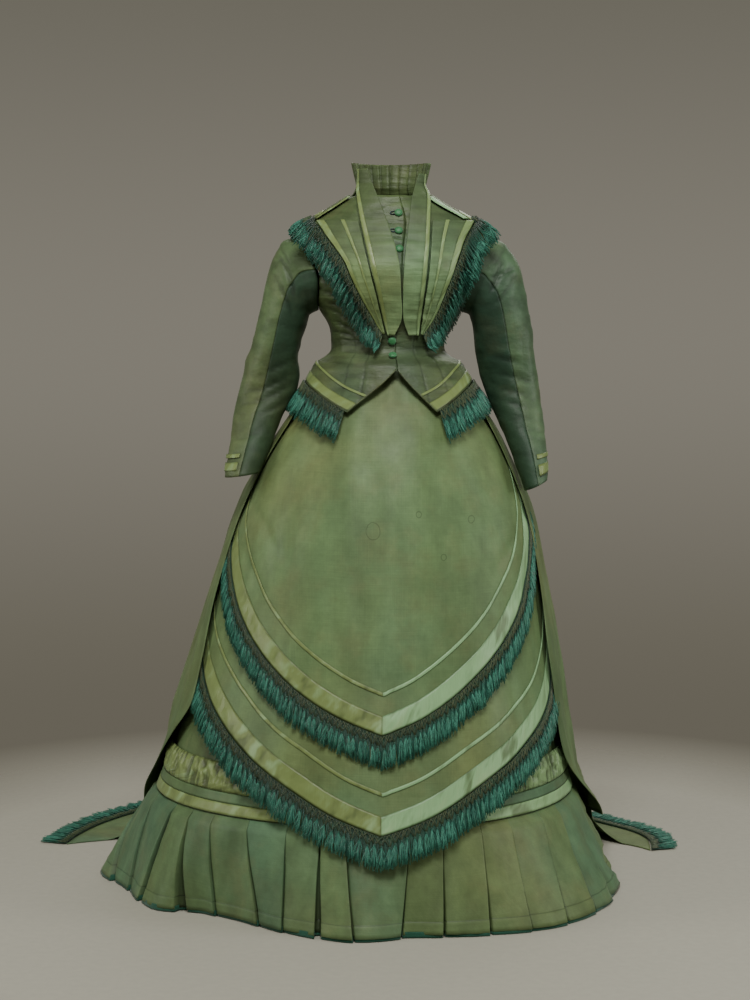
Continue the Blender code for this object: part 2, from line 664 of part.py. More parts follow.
def front_trim(cloth, satin, fringe):
    """Facings, revers, their satin bands and pipings, and the lapel fringes."""
    sides = (("left", -1, LEFT_FACING, LEFT_REVERS), ("right", 1, RIGHT_FACING, RIGHT_REVERS))
    for word, side, facing, revers in sides:
        on_top = SEAM_GAP + TRIM
        add_sheet("facing_" + word, strip_rows(facing, FACING_SHARES, FACING), CLOTH, cloth)
        add_sheet("revers_" + word, strip_rows(revers, REVERS_SHARES, REVERS), CLOTH, cloth)
        ribbons = (
            ("facing_satin_", facing, FACING_SHARES[1:3], FACING),
            ("revers_satin_", revers, REVERS_SHARES[1:3], REVERS),
            ("revers_piping_", revers, REVERS_SHARES[3:5], REVERS),
        )
        for start, cuts, shares, out in ribbons:
            add_sheet(start + word, strip_rows(cuts, shares, out + on_top), TRIM, satin)
        edge = [(cut.height, cut.inner) for cut in revers]

        def place(s, down, edge=edge, side=side):
            height = edge[0][0] + (edge[-1][0] - 0.004 - edge[0][0]) * s
            x = smooth(edge, height)
            slope = (smooth(edge, height - 0.01) - smooth(edge, height + 0.01)) / 0.02
            along = Vector((slope, -1.0)).normalized()
            away = Vector((-along.y * side, along.x * side))
            hang = (away * (0.9 - 0.75 * s) + Vector((0, -0.75))).normalized()
            start = Vector((x, height)) + away * 0.0012
            spot = start + hang * down
            out = REVERS + 0.007 * (1 - ease(spot.y, 1.09, 1.13))
            here = chest_point(spot.x, spot.y, out, guard=SLEEVE_HEAD * ease(down, 0.004, 0.030))
            return here, Vector((spot.x * 1.5, -1, 0.2)).normalized()

        add_fringe("lapel_fringe_" + word, place, 0.30, fringe, drop=0.058)


def collar(cloth, satin, fringe):
    """Shoulder and back collar with its band and fringe, and the pleated standing collar."""
    angles = azimuths(COLLAR_EDGE[0].azimuth, COLLAR_EDGE[-1].azimuth, 19)
    rows = []
    for share in (0.0, 0.45, 0.70, 1.0):
        row = []
        for a in angles:
            edge = smooth(COLLAR_EDGE, a)
            row.append(moved(torso_base, a, COLLAR_TOP + (edge - COLLAR_TOP) * share, SHOULDER_COLLAR))
        rows.append(row)
    add_sheet("shoulder_collar", rows, CLOTH, cloth)
    bands = [[moved(torso_base, a, COLLAR_TOP + (smooth(COLLAR_EDGE, a) - COLLAR_TOP) * share,
              SHOULDER_COLLAR + SEAM_GAP + TRIM)
              for a in angles] for share in (0.70, 1.0)]
    add_sheet("shoulder_satin", bands, TRIM, satin)

    def place(s, down):
        azimuth = 76 + 208 * s
        edge = smooth(COLLAR_EDGE, azimuth)
        start = moved(torso_base, azimuth, edge, SHOULDER_COLLAR)
        side = abs(math.sin(math.radians(azimuth)))
        plan = Vector((start.x, start.y, 0)).normalized()
        slope = Vector((plan.x * side, plan.y * side, -1.2 + 0.90 * side)).normalized()
        bend = Vector((0, 0, -0.9)) * (down / FRINGE_LENGTH) * side
        point = start + (slope * 0.0007) + (slope + bend * 0.5).normalized() * down
        normal = Vector((plan.x * 0.6, plan.y * 0.6, 0.8)) if side > 0.6 else plan
        return point + plan * 0.0003, normal.normalized()

    add_fringe("collar_fringe", place, 0.60, fringe, drop=0.056)
    pleats = 12
    first, last = 84, 276
    standing = []
    for level, flare in ((1.4058, 0.000), (1.436, 0.002), (1.480, 0.010)):
        row = []
        for i, a in enumerate(azimuths(first, last, 3 * pleats + 1)):
            back = abs(math.sin(math.radians((a - 180) / 2)))
            fall = 0.030 * back**6 * (level - 1.4058) / 0.0742
            out = flare + (0.0, 0.0075, 0.0040)[i % 3] * (0.3 + 9 * (level - 1.4058))
            point = ring_point(TORSO, a, min(level, 1.430))
            plan = Vector((point.x, point.y, 0)).normalized()
            row.append(Vector((point.x, point.y, level - fall)) + plan * out)
        standing.append(row)
    add_sheet("standing_collar", standing, CLOTH, cloth)


def basque_fringes(fringe):
    parts = (("left", -90.0, -26.0, 0.21), ("right", 29.0, 90.0, 0.20), ("back", 92.0, 268.0, 0.62))
    for word, first, last, along in parts:

        def place(s, down, first=first, last=last):
            azimuth = first + (last - first) * s
            wrapped = (azimuth + 180) % 360 - 180
            level = smooth(BASQUE_HEM, wrapped) - 0.0008 - down
            here = moved(torso_base, azimuth, level, 0.0)
            away = moved(torso_base, azimuth, level, 0.01)
            return here, (away - here).normalized()

        pitch = BACK_LOCK_PITCH if word == "back" else LOCK_PITCH
        add_fringe("basque_fringe_" + word, place, along, fringe, pitch=pitch)


def buttons(material):
    for number, (x, height, lift) in enumerate(BUTTONS):
        seat = chest_point(x, height, 0.0)
        normal = (chest_point(x, height, 0.01) - seat).normalized()
        mesh = bmesh.new()
        bmesh.ops.create_uvsphere(mesh, u_segments=10, v_segments=6, radius=BUTTON_RADIUS)
        cut = bmesh.ops.bisect_plane(
            mesh, geom=mesh.verts[:] + mesh.edges[:] + mesh.faces[:], plane_co=(0, 0, 0),
            plane_no=(0, 0, -1), clear_outer=True)
        rim = [e for e in cut["geom_cut"] if isinstance(e, bmesh.types.BMEdge)]
        bmesh.ops.contextual_create(mesh, geom=rim)
        bmesh.ops.scale(mesh, vec=(1, 1, 0.62), verts=mesh.verts)
        bmesh.ops.recalc_face_normals(mesh, faces=mesh.faces)
        data = bpy.data.meshes.new("button_%d" % (number + 1))
        mesh.to_mesh(data)
        mesh.free()
        item = add_object(data.name, data, material)
        item.location = on_floor(seat + normal * lift)
        item.rotation_euler = normal.to_track_quat("Z", "Y").to_euler()


clear_scene()
DRESS = bpy.data.collections.new("victorian_dress")
bpy.context.scene.collection.children.link(DRESS)
materials = {name: make_material(name) for name in PALETTE}
underskirt(materials["taffeta"])
hem_bands(materials["taffeta"], materials["satin"])
flounce(materials["taffeta"], materials["braid"])
apron("lower_apron", LOWER_HEM, LOWER_APRON, 88, 25,
      materials["taffeta"], materials["satin"], materials["fringe"])
apron("upper_apron", UPPER_HEM, UPPER_APRON, 88, 25,
      materials["taffeta"], materials["satin"], materials["fringe"])
overskirt(materials["taffeta"], materials["fringe"])
bodice(materials["taffeta"], materials["satin"])
sleeves(materials["taffeta"], materials["satin"])
front_trim(materials["taffeta"], materials["satin"], materials["fringe"])
collar(materials["taffeta"], materials["satin"], materials["fringe"])
basque_fringes(materials["fringe"])
buttons(materials["button"])
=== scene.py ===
import math

import bpy
import numpy as np
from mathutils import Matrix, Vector


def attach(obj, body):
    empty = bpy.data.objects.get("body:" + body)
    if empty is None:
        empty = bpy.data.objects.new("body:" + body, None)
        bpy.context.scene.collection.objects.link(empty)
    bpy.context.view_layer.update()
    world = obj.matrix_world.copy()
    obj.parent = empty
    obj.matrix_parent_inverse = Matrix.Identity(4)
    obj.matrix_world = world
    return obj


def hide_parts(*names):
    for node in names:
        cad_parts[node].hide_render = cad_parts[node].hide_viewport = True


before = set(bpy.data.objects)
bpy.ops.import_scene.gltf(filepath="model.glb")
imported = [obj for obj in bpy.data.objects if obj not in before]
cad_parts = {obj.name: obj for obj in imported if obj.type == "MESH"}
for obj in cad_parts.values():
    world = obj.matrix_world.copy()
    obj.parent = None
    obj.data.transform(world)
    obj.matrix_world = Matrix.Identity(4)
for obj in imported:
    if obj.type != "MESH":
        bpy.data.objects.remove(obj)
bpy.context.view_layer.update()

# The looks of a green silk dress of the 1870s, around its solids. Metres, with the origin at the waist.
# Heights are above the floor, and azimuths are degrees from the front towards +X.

# Sizes of the solids
WAIST_HEIGHT = 1.1
CLOTH = 0.0012
TRIM = 0.0009
SEAM_GAP = 0.0004
ON_TOP = SEAM_GAP + TRIM
FLOOR_GAP = 0.0012
SKIRT_TOP = 1.055
LOWER_APRON = (0.006, -0.0003)
UPPER_APRON = (0.012, 0.002)
OVERSKIRT = (0.0195, 0.0046)
HEM_LIFT = 0.01
BASQUE = 0.026
BASQUE_TOP = 1.092
BASQUE_FULL = 1.045
FACING = 0.0078
REVERS = 0.0092
SHOULDER_COLLAR = 0.0062
SLEEVE_HEAD = 0.088
SLEEVE_SEAT = 0.0024
FRINGE_LENGTH = 0.064
ARMHOLE_LOW = 1.172
ARMHOLE_HIGH = 1.318
ARMHOLE_WIDE = 34.0
WIDE_BAND = 0.0345
PLAIN_STRIP = 0.0335
PIPING = 0.007
APRON_SPAN = 88
APRON_CORNERS = (-2,)
BASQUE_CORNERS = (-24, 5, 27)
COLLAR_TOP = 1.404
FLOUNCE_TOP = 0.188
FLOUNCE_STAND = 0.0085
FLAT_PLEAT = 0.0016
PLEAT_DEPTH_HEM = 0.022
FOUNDATION_IN = 0.105
FOUNDATION_EASE = 0.003
TRAIN_TOP = SKIRT_TOP
TRAIN_FOOT = 0.05
TRAIN_LIFT = 0.026
TRAIN_FOLD_DEPTH = 0.013
TRAIN_CORNERS = (102, 255)
TRAIN_FOLDS = 11
BUTTON_RADIUS = 0.0085

# Tables are written in millimetres and degrees
MM = 1000.0

# Sections: height, half width to the left and right, half depth in front and behind
SKIRT = np.array([
    (1100, 118.2, 108.8, 97.6, 101.2), (1060, 130, 122, 108, 116), (1000, 160, 156, 134, 185),
    (950, 190, 186, 162, 255), (866, 244, 230, 200, 330), (750, 302, 276, 242, 365),
    (600, 350, 306, 288, 390), (450, 392, 330, 330, 430), (320, 434, 346, 362, 480),
    (200, 478, 372, 395, 560), (100, 522, 415, 432, 620), (0, 560, 462, 468, 680),
]) / MM
TORSO = np.array([
    (1100, 122.5, 113, 102, 106), (1130, 125.5, 118, 106, 106), (1160, 140, 133, 118, 114),
    (1200, 164, 158, 138, 126), (1245, 178, 176, 148, 132), (1290, 190, 190, 132, 130),
    (1320, 196, 196, 114, 120), (1350, 170, 178, 98, 108), (1385, 115, 117, 82, 92),
    (1410, 78, 80, 70, 78), (1430, 64, 68, 62, 68),
]) / MM

# Sleeve sections: outer x and height, inner x and height, y, half depth, and tuck
LEFT_SLEEVE = np.array([
    (-229, 1307, -169, 1158, 0, 72, 12), (-250, 1262, -173, 1142, 0, 69, 4),
    (-264, 1190, -180, 1118, 0, 63, 0), (-286, 1100, -188, 1075, 2, 58, 0),
    (-316, 1005, -194, 1008, 0, 53, 0), (-326, 935, -225, 950, -30, 47, 0),
    (-332, 875, -248, 885, -66, 42, 0), (-336, 829, -266, 838, -94, 39, 0),
]) / MM
RIGHT_SLEEVE = np.array([
    (243, 1304, 165, 1158, 0, 73, 12), (267, 1262, 169, 1140, 0, 70, 4), (284, 1190, 173, 1112, 0, 64, 0),
    (299, 1100, 180, 1070, 2, 59, 0), (310, 1020, 200, 1000, 0, 53, 0), (316, 940, 227, 935, -30, 48, 0),
    (320, 880, 252, 868, -64, 44, 0), (320, 824, 274, 802, -92, 41, 0),
]) / MM

# Hems and edges by azimuth
BASQUE_HEM = np.array([
    (-180, 985), (-135, 990), (-90, 1012), (-62, 998), (-24, 951), (5, 1038), (27, 951), (60, 996),
    (90, 1012), (135, 990), (180, 985),
]) / (1, MM)
UPPER_HEM = np.array([
    (-88, 820), (-80, 735), (-70, 660), (-58, 588), (-45, 518), (-30, 446), (-15, 389), (-2, 352),
    (11, 386), (26, 442), (42, 515), (56, 595), (70, 705), (80, 790), (88, 850),
]) / (1, MM)
LOWER_HEM = np.array([
    (-88, 520), (-70, 440), (-54, 374), (-46, 340), (-36, 297), (-24, 250), (-13, 206), (-2, 172),
    (12, 205), (28, 257), (44, 308), (60, 364), (74, 432), (88, 500),
]) / (1, MM)
COLLAR_EDGE = np.array([
    (68, 1351), (80, 1358), (90, 1359), (115, 1345), (150, 1300), (180, 1285), (210, 1300), (245, 1345),
    (270, 1359), (280, 1358), (292, 1351),
]) / (1, MM)
HEM_WAVE = np.array([
    (-140, 0), (-92, 40), (-72, -12), (-55, 0), (-44, -52), (-34, -50), (-20, -12), (-6, 18), (5, -12),
    (20, 4), (42, 34), (58, 26), (80, 0), (100, -8), (140, 0),
]) / (1, MM)
TRAIN_EDGE = np.array([
    (102, 590), (109, 630), (122, 630), (137, 640), (152, 730), (180, 880), (205, 850), (230, 790),
    (246, 765), (255, 745),
]) / (1, MM)

# Edges by height: the middle of the front, and the overskirt's front edges
CENTRE_LINE = np.array([
    (1040, 4.5), (1100, 5.5), (1200, 8), (1300, 8), (1405, 13),
]) / (MM, 1)
LEFT_FRONT_EDGE = np.array([
    (0, 246), (90, 252), (200, 269), (300, 284), (380, 293), (460, 291), (600, 287), (800, 288),
    (1060, 290),
]) / (MM, 1)
RIGHT_FRONT_EDGE = np.array([
    (0, 112), (100, 98), (200, 81), (260, 71), (380, 69), (480, 68), (600, 71), (800, 72), (1060, 70),
]) / (MM, 1)

# The front trim: height, and x of its two edges
LEFT_FACING = np.array([
    (1462, -60, -42), (1434, -62, -35), (1405, -66, -26), (1360, -62, -10), (1310, -52, 6),
    (1262, -40, 17.5), (1205, -25, 21.5), (1150, -13, 21.5), (1118, -5, 8),
]) / MM
RIGHT_FACING = np.array([
    (1452, 67, 54), (1430, 66, 49), (1405, 78, 44), (1360, 81, 39), (1310, 79, 34), (1262, 74, 28.5),
    (1205, 67, 25.5), (1150, 59, 26.5), (1118, 55, 36),
]) / MM
LEFT_REVERS = np.array([
    (1348, -149, -63.5), (1312, -123, -55.5), (1266, -90, -44.5), (1218, -67, -31.5), (1168, -40, -19.5),
    (1122, -14, -9.5),
]) / MM
RIGHT_REVERS = np.array([
    (1348, 170, 84.5), (1312, 149, 82.5), (1266, 131, 78.5), (1218, 112, 72.5), (1168, 91, 64.5),
    (1120, 62.5, 58.5),
]) / MM

# Buttons: x, height, and how far out they stand
BUTTONS = np.array([
    (17.5, 1367, 0.3), (17.5, 1330, -0.2), (19, 1292, -0.2), (4, 1106, 0.3), (5, 1072, 3),
]) / MM

# Soft troughs and ridges: x and height of both ends, width and depth
APRON_CREASES = np.array([
    (-180, 900, -200, 620, 20, 3), (170, 920, 200, 600, 22, 3), (-50, 950, -70, 600, 30, 2.2),
    (70, 950, 90, 500, 32, 2.4), (20, 900, 20, 400, 30, -2), (-120, 850, -140, 450, 34, -2),
    (140, 800, 160, 440, 30, -2), (-300, 800, -200, 620, 12, 3), (-330, 720, -240, 570, 12, 2.6),
    (290, 800, 200, 640, 12, 2.8), (310, 700, 220, 560, 12, 2.4),
]) / MM
FRONT_CREASES = np.array([
    (-150, 1215, -70, 1165, 3.6, 2.4), (-140, 1192, -62, 1146, 3.4, 2.4), (-128, 1172, -60, 1128, 3.2, 2),
    (-122, 1150, -64, 1116, 3, 1.8), (-124, 1128, -60, 1104, 2.8, 1.8), (-118, 1108, -48, 1100, 2.6, 1.6),
    (-116, 1094, -40, 1093, 2.4, 1.4), (-116, 1080, -50, 1080, 2.6, 1.2), (-128, 1062, -60, 1055, 5, 1.2),
    (-92, 1160, -98, 1085, 5, -1.2), (148, 1212, 94, 1160, 3.6, 2.2), (136, 1186, 84, 1140, 3.4, 2.2),
    (124, 1160, 80, 1122, 3.2, 1.8), (118, 1136, 66, 1108, 3, 1.8), (114, 1114, 56, 1102, 2.8, 1.6),
    (110, 1098, 48, 1094, 2.4, 1.4), (108, 1082, 44, 1080, 2.6, 1.2), (120, 1062, 60, 1055, 5, 1.2),
    (-165, 1262, -128, 1215, 5, 2.2), (172, 1262, 140, 1210, 5, 2.2), (-150, 1285, -100, 1232, 6, 1.6),
    (160, 1285, 120, 1235, 6, 1.6), (-12, 1388, 36, 1390, 2.2, 1.4), (-8, 1352, 36, 1349, 2.2, 1.6),
    (-4, 1340, 34, 1343, 2, 1), (0, 1316, 34, 1311, 2.2, 1.6), (6, 1302, 32, 1305, 2, 1),
    (10, 1276, 30, 1272, 2.2, 1.4),
]) / MM
SLEEVE_CREASES = np.array([
    (-200, 1040, -305, 1000, 4.5, 2.6), (-205, 1015, -312, 975, 4.5, 2.2),
    (-200, 1070, -265, 1045, 6, 2.2), (-205, 990, -275, 955, 5, 1.8), (-222, 1270, -196, 1195, 5, 3),
    (-240, 1235, -200, 1150, 5.5, 2.2), (-230, 1300, -205, 1262, 3, 1.4),
    (-240, 1285, -214, 1258, 3, 1.2), (-255, 930, -325, 905, 5, 1.4), (-300, 1150, -285, 1020, 9, -1.6),
    (205, 1040, 305, 1015, 4.5, 2.4), (210, 1010, 305, 980, 4.5, 2.2), (200, 1075, 275, 1055, 6, 2),
    (225, 985, 290, 960, 5, 1.6), (232, 1275, 200, 1200, 5, 3), (262, 1262, 206, 1236, 4.5, 2.6),
    (258, 1235, 210, 1180, 5, 2), (240, 1300, 212, 1262, 3, 1.4), (250, 930, 318, 915, 5, 1.4),
    (292, 1150, 300, 1020, 9, -1.6),
]) / MM
TRIM_CREASES = np.array([
    (-52, 1398, -20, 1404, 1.6, 1.2), (-56, 1412, -30, 1420, 1.4, 1), (-48, 1366, -14, 1374, 1.4, 0.9),
    (-40, 1316, 4, 1316, 1.6, 1), (-30, 1275, 14, 1276, 1.8, 1.4), (-20, 1196, 18, 1195, 2.2, 0.8),
    (46, 1398, 68, 1394, 1.6, 1.2), (42, 1352, 74, 1348, 1.4, 0.9), (34, 1330, 70, 1334, 1.4, 0.7),
    (28, 1288, 64, 1290, 1.8, 1.4), (28, 1218, 60, 1214, 2.2, 0.8), (30, 1180, 56, 1182, 2.2, 0.8),
]) / MM
FRONT_CREASE_GAIN = 2.0
SLEEVE_CREASE_GAIN = 1.9

# Darts at the waist: azimuth at the hem and by the bust
DARTS = [(-18.0, -22.0), (-31.0, -40.0), (24.0, 26.0), (40.0, 44.0)]

# The knife pleats in view: azimuths of the folded edge at the top and at the hem, how wide and how deep
# the slit behind it opens at the hem, and how far it is open already at the top
PLEATS = [
    (-97, -81.5, 1.7, 0.9, 0.6), (-76, -72, 0.6, 0.5, 0), (-61, -62.5, 1.5, 0.9, 0.2),
    (-53, -50, 1.9, 1, 0.7), (-44.8, -41.2, 0.5, 0.5, 0.1), (-34, -28.2, 0.5, 0.5, 0.1),
    (-23.5, -21.5, 0.2, 0.2, 0), (-15.4, -14.2, 1.3, 0.8, 0.4), (-9.8, -6.6, 0.3, 0.3, 0),
    (5.6, 2.4, 0.5, 0.4, 0), (15, 12.2, 0.8, 0.6, 0), (26.8, 23, 0.8, 0.6, 0.1),
    (37, 32.6, 0.4, 0.4, 0.1), (50, 42, 1, 0.7, 0.2), (60, 53, 1, 0.7, 0.2), (69, 65, 1.2, 0.8, 0),
    (80, 78, 1.1, 0.8, 0),
]
BACK_PLEATS = 12

# One pleat across: share of its width, height of its cloth above the slit, and shade. The cloth rises to the
# folded edge, turns under it and comes back up beyond the slit, which has a depth before its shade.
PLEAT = [
    (0.0, 0.0, 0.35), (0.03, 0.06, 0.16), (0.1, 0.16, 0.06), (0.24, 0.34, 0), (0.4, 0.52, 0), (0.56, 0.68, 0),
    (0.72, 0.82, 0), (0.86, 0.93, 0), (0.95, 1, 0), (0.985, 1, 0), (1, 0.78, 0.25),
]
SLIT = [(-0.35, 0.1, 0.7, 1.0), (0.1, 0.00, 1.00, 1.0), (0.6, 0.00, 1.00, 1.0), (0.9, 0.00, 0.55, 0.9)]
PLEAT_STEP = 0.005
HEM_TUCK = 0.028

# One pleat of the standing collar: share of its width, and rise
COLLAR_PLEAT = [(0, 0), (0.06, 0.75), (0.14, 1), (0.4, 0.85), (0.7, 0.55), (0.93, 0.3), (0.985, 0.12)]
COLLAR_PLEATS = 12

# How many degrees the ribbons' mitred ends reach past the basque's points for each metre up
BASQUE_MITRE = {"left": 236.0, "right": 188.0}

# Turns at which the upper and under sleeve meet, in front and behind
FRONT_SEAM = 84.0
BACK_SEAM = -112.0

# A button's dome: radius and rise, as shares of the button's radius
DOME = np.array([
    (0.8, 0), (0.95, 0.05), (1, 0.14), (0.98, 0.26), (0.9, 0.4), (0.74, 0.52), (0.5, 0.6), (0.24, 0.635),
])
DOME_TOP = 0.645


# Curves, surfaces and noise, on whole arrays

def hermite(t, start, end, leave, arrive):
    """A cubic between two values, with its slopes at both ends."""
    first = (2 * t**3 - 3 * t**2 + 1) * start + (t**3 - 2 * t**2 + t) * leave
    return first + (3 * t**2 - 2 * t**3) * end + (t**3 - t**2) * arrive


def smooth(table, x, column=1):
    """A smooth curve through one column of a table whose first column rises or falls."""
    rows = np.array(table, float)
    if rows[0, 0] > rows[-1, 0]:
        rows = rows[::-1]
    keys = rows[:, 0]
    values = rows[:, column]
    x = np.clip(np.asarray(x, float), keys[0], keys[-1])
    k = np.clip(np.searchsorted(keys, x, side="right") - 1, 0, len(keys) - 2)
    change = np.diff(values) / np.diff(keys)
    bends = np.where(change[:-1] * change[1:] < 0, 0.0, (change[:-1] + change[1:]) / 2)
    slope = np.concatenate([change[:1], bends, change[-1:]])
    span = keys[k + 1] - keys[k]
    return hermite((x - keys[k]) / span, values[k], values[k + 1], span * slope[k], span * slope[k + 1])


def cornered(table, x, corners):
    """A smooth curve through a rising table, with a sharp corner at each of the given keys."""
    keys = [row[0] for row in table]
    cuts = [keys.index(corner) for corner in corners] + [len(keys) - 1]
    total = smooth(table[:cuts[0] + 1], x)
    for a, b in zip(cuts, cuts[1:]):
        total = np.where(np.asarray(x) >= keys[a], smooth(table[a:b + 1], x), total)
    return total


def ease(x, low, high):
    t = np.clip((np.asarray(x, float) - low) / (high - low), 0.0, 1.0)
    return t * t * (3 - 2 * t)


def bell(x, width):
    return np.exp(-(x / width) ** 2)


def crowned(x, low, high):
    """0 at both ends of a span and 1 in its middle."""
    return np.sin(np.pi * (x - low) / (high - low))


def stitched(x, low, high, near):
    """Where x is near either end of a span."""
    return (x < low + near) | (x > high - near)


def lattice(first, last, columns, top, low, rows):
    return np.meshgrid(np.linspace(first, last, columns), np.linspace(top, low, rows))


def unit(vectors):
    return vectors / np.maximum(np.linalg.norm(vectors, axis=-1, keepdims=True), 1e-9)


def joined(x, y, z):
    return np.stack(np.broadcast_arrays(x, y, z), axis=-1).astype(float)


def ring_point(table, azimuth, height):
    """A point of an oval section, each quarter with its own half axes."""
    angle = np.radians(azimuth)
    height = np.asarray(height, float)
    across = np.where(np.sin(angle) > 0, smooth(table, height, 2), smooth(table, height, 1))
    along = np.where(np.cos(angle) > 0, smooth(table, height, 3), smooth(table, height, 4))
    return joined(across * np.sin(angle), -along * np.cos(angle), height)


def skirt_base(azimuth, height):
    return ring_point(SKIRT, azimuth, height)


def torso_base(azimuth, height):
    """The bodice: its own sections above the waist, the skirt's moved out below it."""
    share = ease(height, BASQUE_FULL, BASQUE_TOP)[..., None]
    below = moved(skirt_base, azimuth, height, BASQUE)
    return below * (1 - share) + ring_point(TORSO, azimuth, height) * share


def normal_at(surface, azimuth, height):
    across = surface(azimuth + 0.5, height) - surface(azimuth - 0.5, height)
    up = surface(azimuth, height + 0.002) - surface(azimuth, height - 0.002)
    return unit(np.cross(across, up))


def moved(surface, azimuth, height, out):
    """Points of a surface, moved out along its normals."""
    azimuth, height = np.broadcast_arrays(np.asarray(azimuth, float), np.asarray(height, float))
    return surface(azimuth, height) + normal_at(surface, azimuth, height) * np.asarray(out, float)[..., None]


def tucked(level, layer):
    """How far out a skirt layer lies: close to the one beneath at the waist, full below the hips."""
    return layer[1] + (layer[0] - layer[1]) * (1 - ease(level, 0.96, SKIRT_TOP))


def plan_of(points):
    return unit(points * np.array([1.0, 1.0, 0.0]))


def wrapped(azimuth):
    return (azimuth + 180) % 360 - 180


def scatter(cells, seed):
    """A steady random number from 0 to 1 for each whole-numbered cell."""
    x, y, z = np.moveaxis(cells, -1, 0)
    mixed = (x * 73856093) ^ (y * 19349663) ^ (z * 83492791) ^ (seed * 2654435)
    mixed = (mixed ^ (mixed >> 13)) * 1274126177
    return ((mixed ^ (mixed >> 16)) & 0xFFFF) / 65535.0


def noise(points, size, seed):
    """Smooth noise from -1 to 1, with lumps of the given size in metres, one size or one for each axis."""
    spot = np.asarray(points, float) / np.asarray(size, float)
    cell = np.floor(spot).astype(np.int64)
    t = spot - cell
    t = t * t * (3 - 2 * t)
    total = 0.0
    for corner in range(8):
        step = np.array([corner & 1, (corner >> 1) & 1, (corner >> 2) & 1])
        weight = np.prod(np.where(step == 1, t, 1 - t), axis=-1)
        total = total + weight * scatter(cell + step, seed)
    return total * 2 - 1


def pushed(grid, out):
    """An open grid with each point moved out. Rows run down and columns towards rising azimuth."""
    normals = unit(np.cross(np.gradient(grid, axis=1), -np.gradient(grid, axis=0)))
    return grid + normals * np.asarray(out)[..., None]


def creases(grid, marks):
    """How far in the marks press a grid, seen from the front. Each trough is bowed and ends softly."""
    total = np.zeros(grid.shape[:-1])
    for x1, z1, x2, z2, width, depth in marks:
        start = np.array([x1, z1])
        along = np.array([x2, z2]) - start
        long = np.linalg.norm(along)
        offset = grid[..., ::2] - start
        t = np.clip(offset @ along / long**2, 0.0, 1.0)
        offset = offset - t[..., None] * along
        bow = 0.06 * long * np.sin(np.pi * t) * np.sign(depth)
        sideways = offset @ np.array([-along[1], along[0]]) / long
        away = np.hypot(offset @ along / long, sideways - bow)
        total = total - depth * np.sin(np.pi * np.clip(t, 0.04, 0.96)) ** 0.7 * bell(away, width)
    return total


# Meshes

def linked(name, data):
    item = bpy.data.objects.new(name, data)
    bpy.context.scene.collection.objects.link(item)
    return item


def mesh_from(name, points, faces, material):
    """A smooth mesh from points whose heights are above the floor."""
    mesh = bpy.data.meshes.new(name)
    mesh.from_pydata((points - np.array([0, 0, WAIST_HEIGHT])).tolist(), [], faces)
    mesh.update()
    mesh.shade_smooth()
    mesh.materials.append(material)
    return mesh


def add_piece(name, mesh, nodes=()):
    """One shown piece on the root body, which stands for the CAD nodes that it names."""
    item = linked(name, mesh)
    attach(item, "root")
    if nodes:
        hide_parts(*nodes)
    return item


def add_tone(mesh, word, values):
    tone = mesh.attributes.new(word, "FLOAT", "POINT")
    tone.data.foreach_set("value", values.reshape(-1).astype(np.float32))


# What is said of each cloth once all pieces are there
CLOTHS = {}
NARROWEST_SHEET = 0.012


def add_cloth(node, grid, material, held, under=None, word="_cloth", slot="taffeta", wall=CLOTH, closed=False,
              flip=False, solid=True, shade=0.0, tint=0.0):
    """A cloth wall from a grid, with its threads mapped in metres. It stands for the CAD node unless it has
    no solid. A piping or ribbon too narrow to be a sheet of its own goes with the cloth under it."""
    name = node + word
    rows, columns = grid.shape[:2]
    order = slice(None, None, -1 if flip else 1)
    grid = grid[:, order]
    ring = np.concatenate([grid, grid[:, :1]], axis=1) if closed else grid
    r, c = np.meshgrid(np.arange(rows - 1), np.arange(ring.shape[1] - 1), indexing="ij")
    r = np.stack([r, r + 1, r + 1, r], axis=-1).reshape(-1)
    c = np.stack([c, c, c + 1, c + 1], axis=-1).reshape(-1)
    faces = (r * columns + c % columns).reshape(-1, 4)
    mesh = mesh_from(name, grid.reshape(-1, 3), faces.tolist(), material)
    weft = np.diff(ring, axis=1)
    warp = np.diff(ring, axis=0)
    weft_lengths = np.linalg.norm(weft, axis=-1)
    warp_lengths = np.linalg.norm(warp, axis=-1)
    across = np.pad(np.cumsum(weft_lengths, axis=1), ((0, 0), (1, 0)))
    across -= across.mean(axis=1, keepdims=True)
    down = np.pad(np.cumsum(warp_lengths, axis=0), ((1, 0), (0, 0)))
    spots = np.stack([across, -down], axis=-1)[r, c]
    mesh.uv_layers.new(name="Threads").data.foreach_set("uv", spots.reshape(-1).astype(np.float32))
    # shade darkens the colour: painted shade in creases, hollows and slits, with darker seam and stitch
    # lines. The second attribute turns the colour towards teal in the taffeta and lighter mint in the satin:
    # a tint where it is random or even, painted light where it is set by side.
    for tone, amount in (("shade", shade), ("tint", tint)):
        add_tone(mesh, tone, np.broadcast_to(amount, (rows, columns))[:, order])
    item = add_piece(name, mesh, [node] if solid else ())
    shell = item.modifiers.new("Wall", "SOLIDIFY")
    shell.thickness = wall
    shell.offset = -1.0
    shell.use_even_offset = False
    width = weft_lengths.sum(axis=1).max()
    length = warp_lengths.sum(axis=0).max()
    if min(width, length) < NARROWEST_SHEET:
        CLOTHS[under]["with_pieces"].append(item)
        return
    halves = np.cross(warp[:, :-1], weft[:-1]), np.cross(warp[:, 1:], weft[1:])
    area = sum(np.linalg.norm(half, axis=-1).sum() / 2 for half in halves)
    CLOTHS[name] = {"item": item, "flat": (width, length), "held": held, "with_pieces": [],
                    "area": min(area, width * length), "rests_on": [under] if under else []}


def add_ribbon(node, grid, held, under, **looks):
    """A satin band or piping."""
    add_cloth(node, grid, SATIN, held, under, "_ribbon", "satin", TRIM, **looks)


def declare_cloths():
    for facts in CLOTHS.values():
        facts.pop("item")


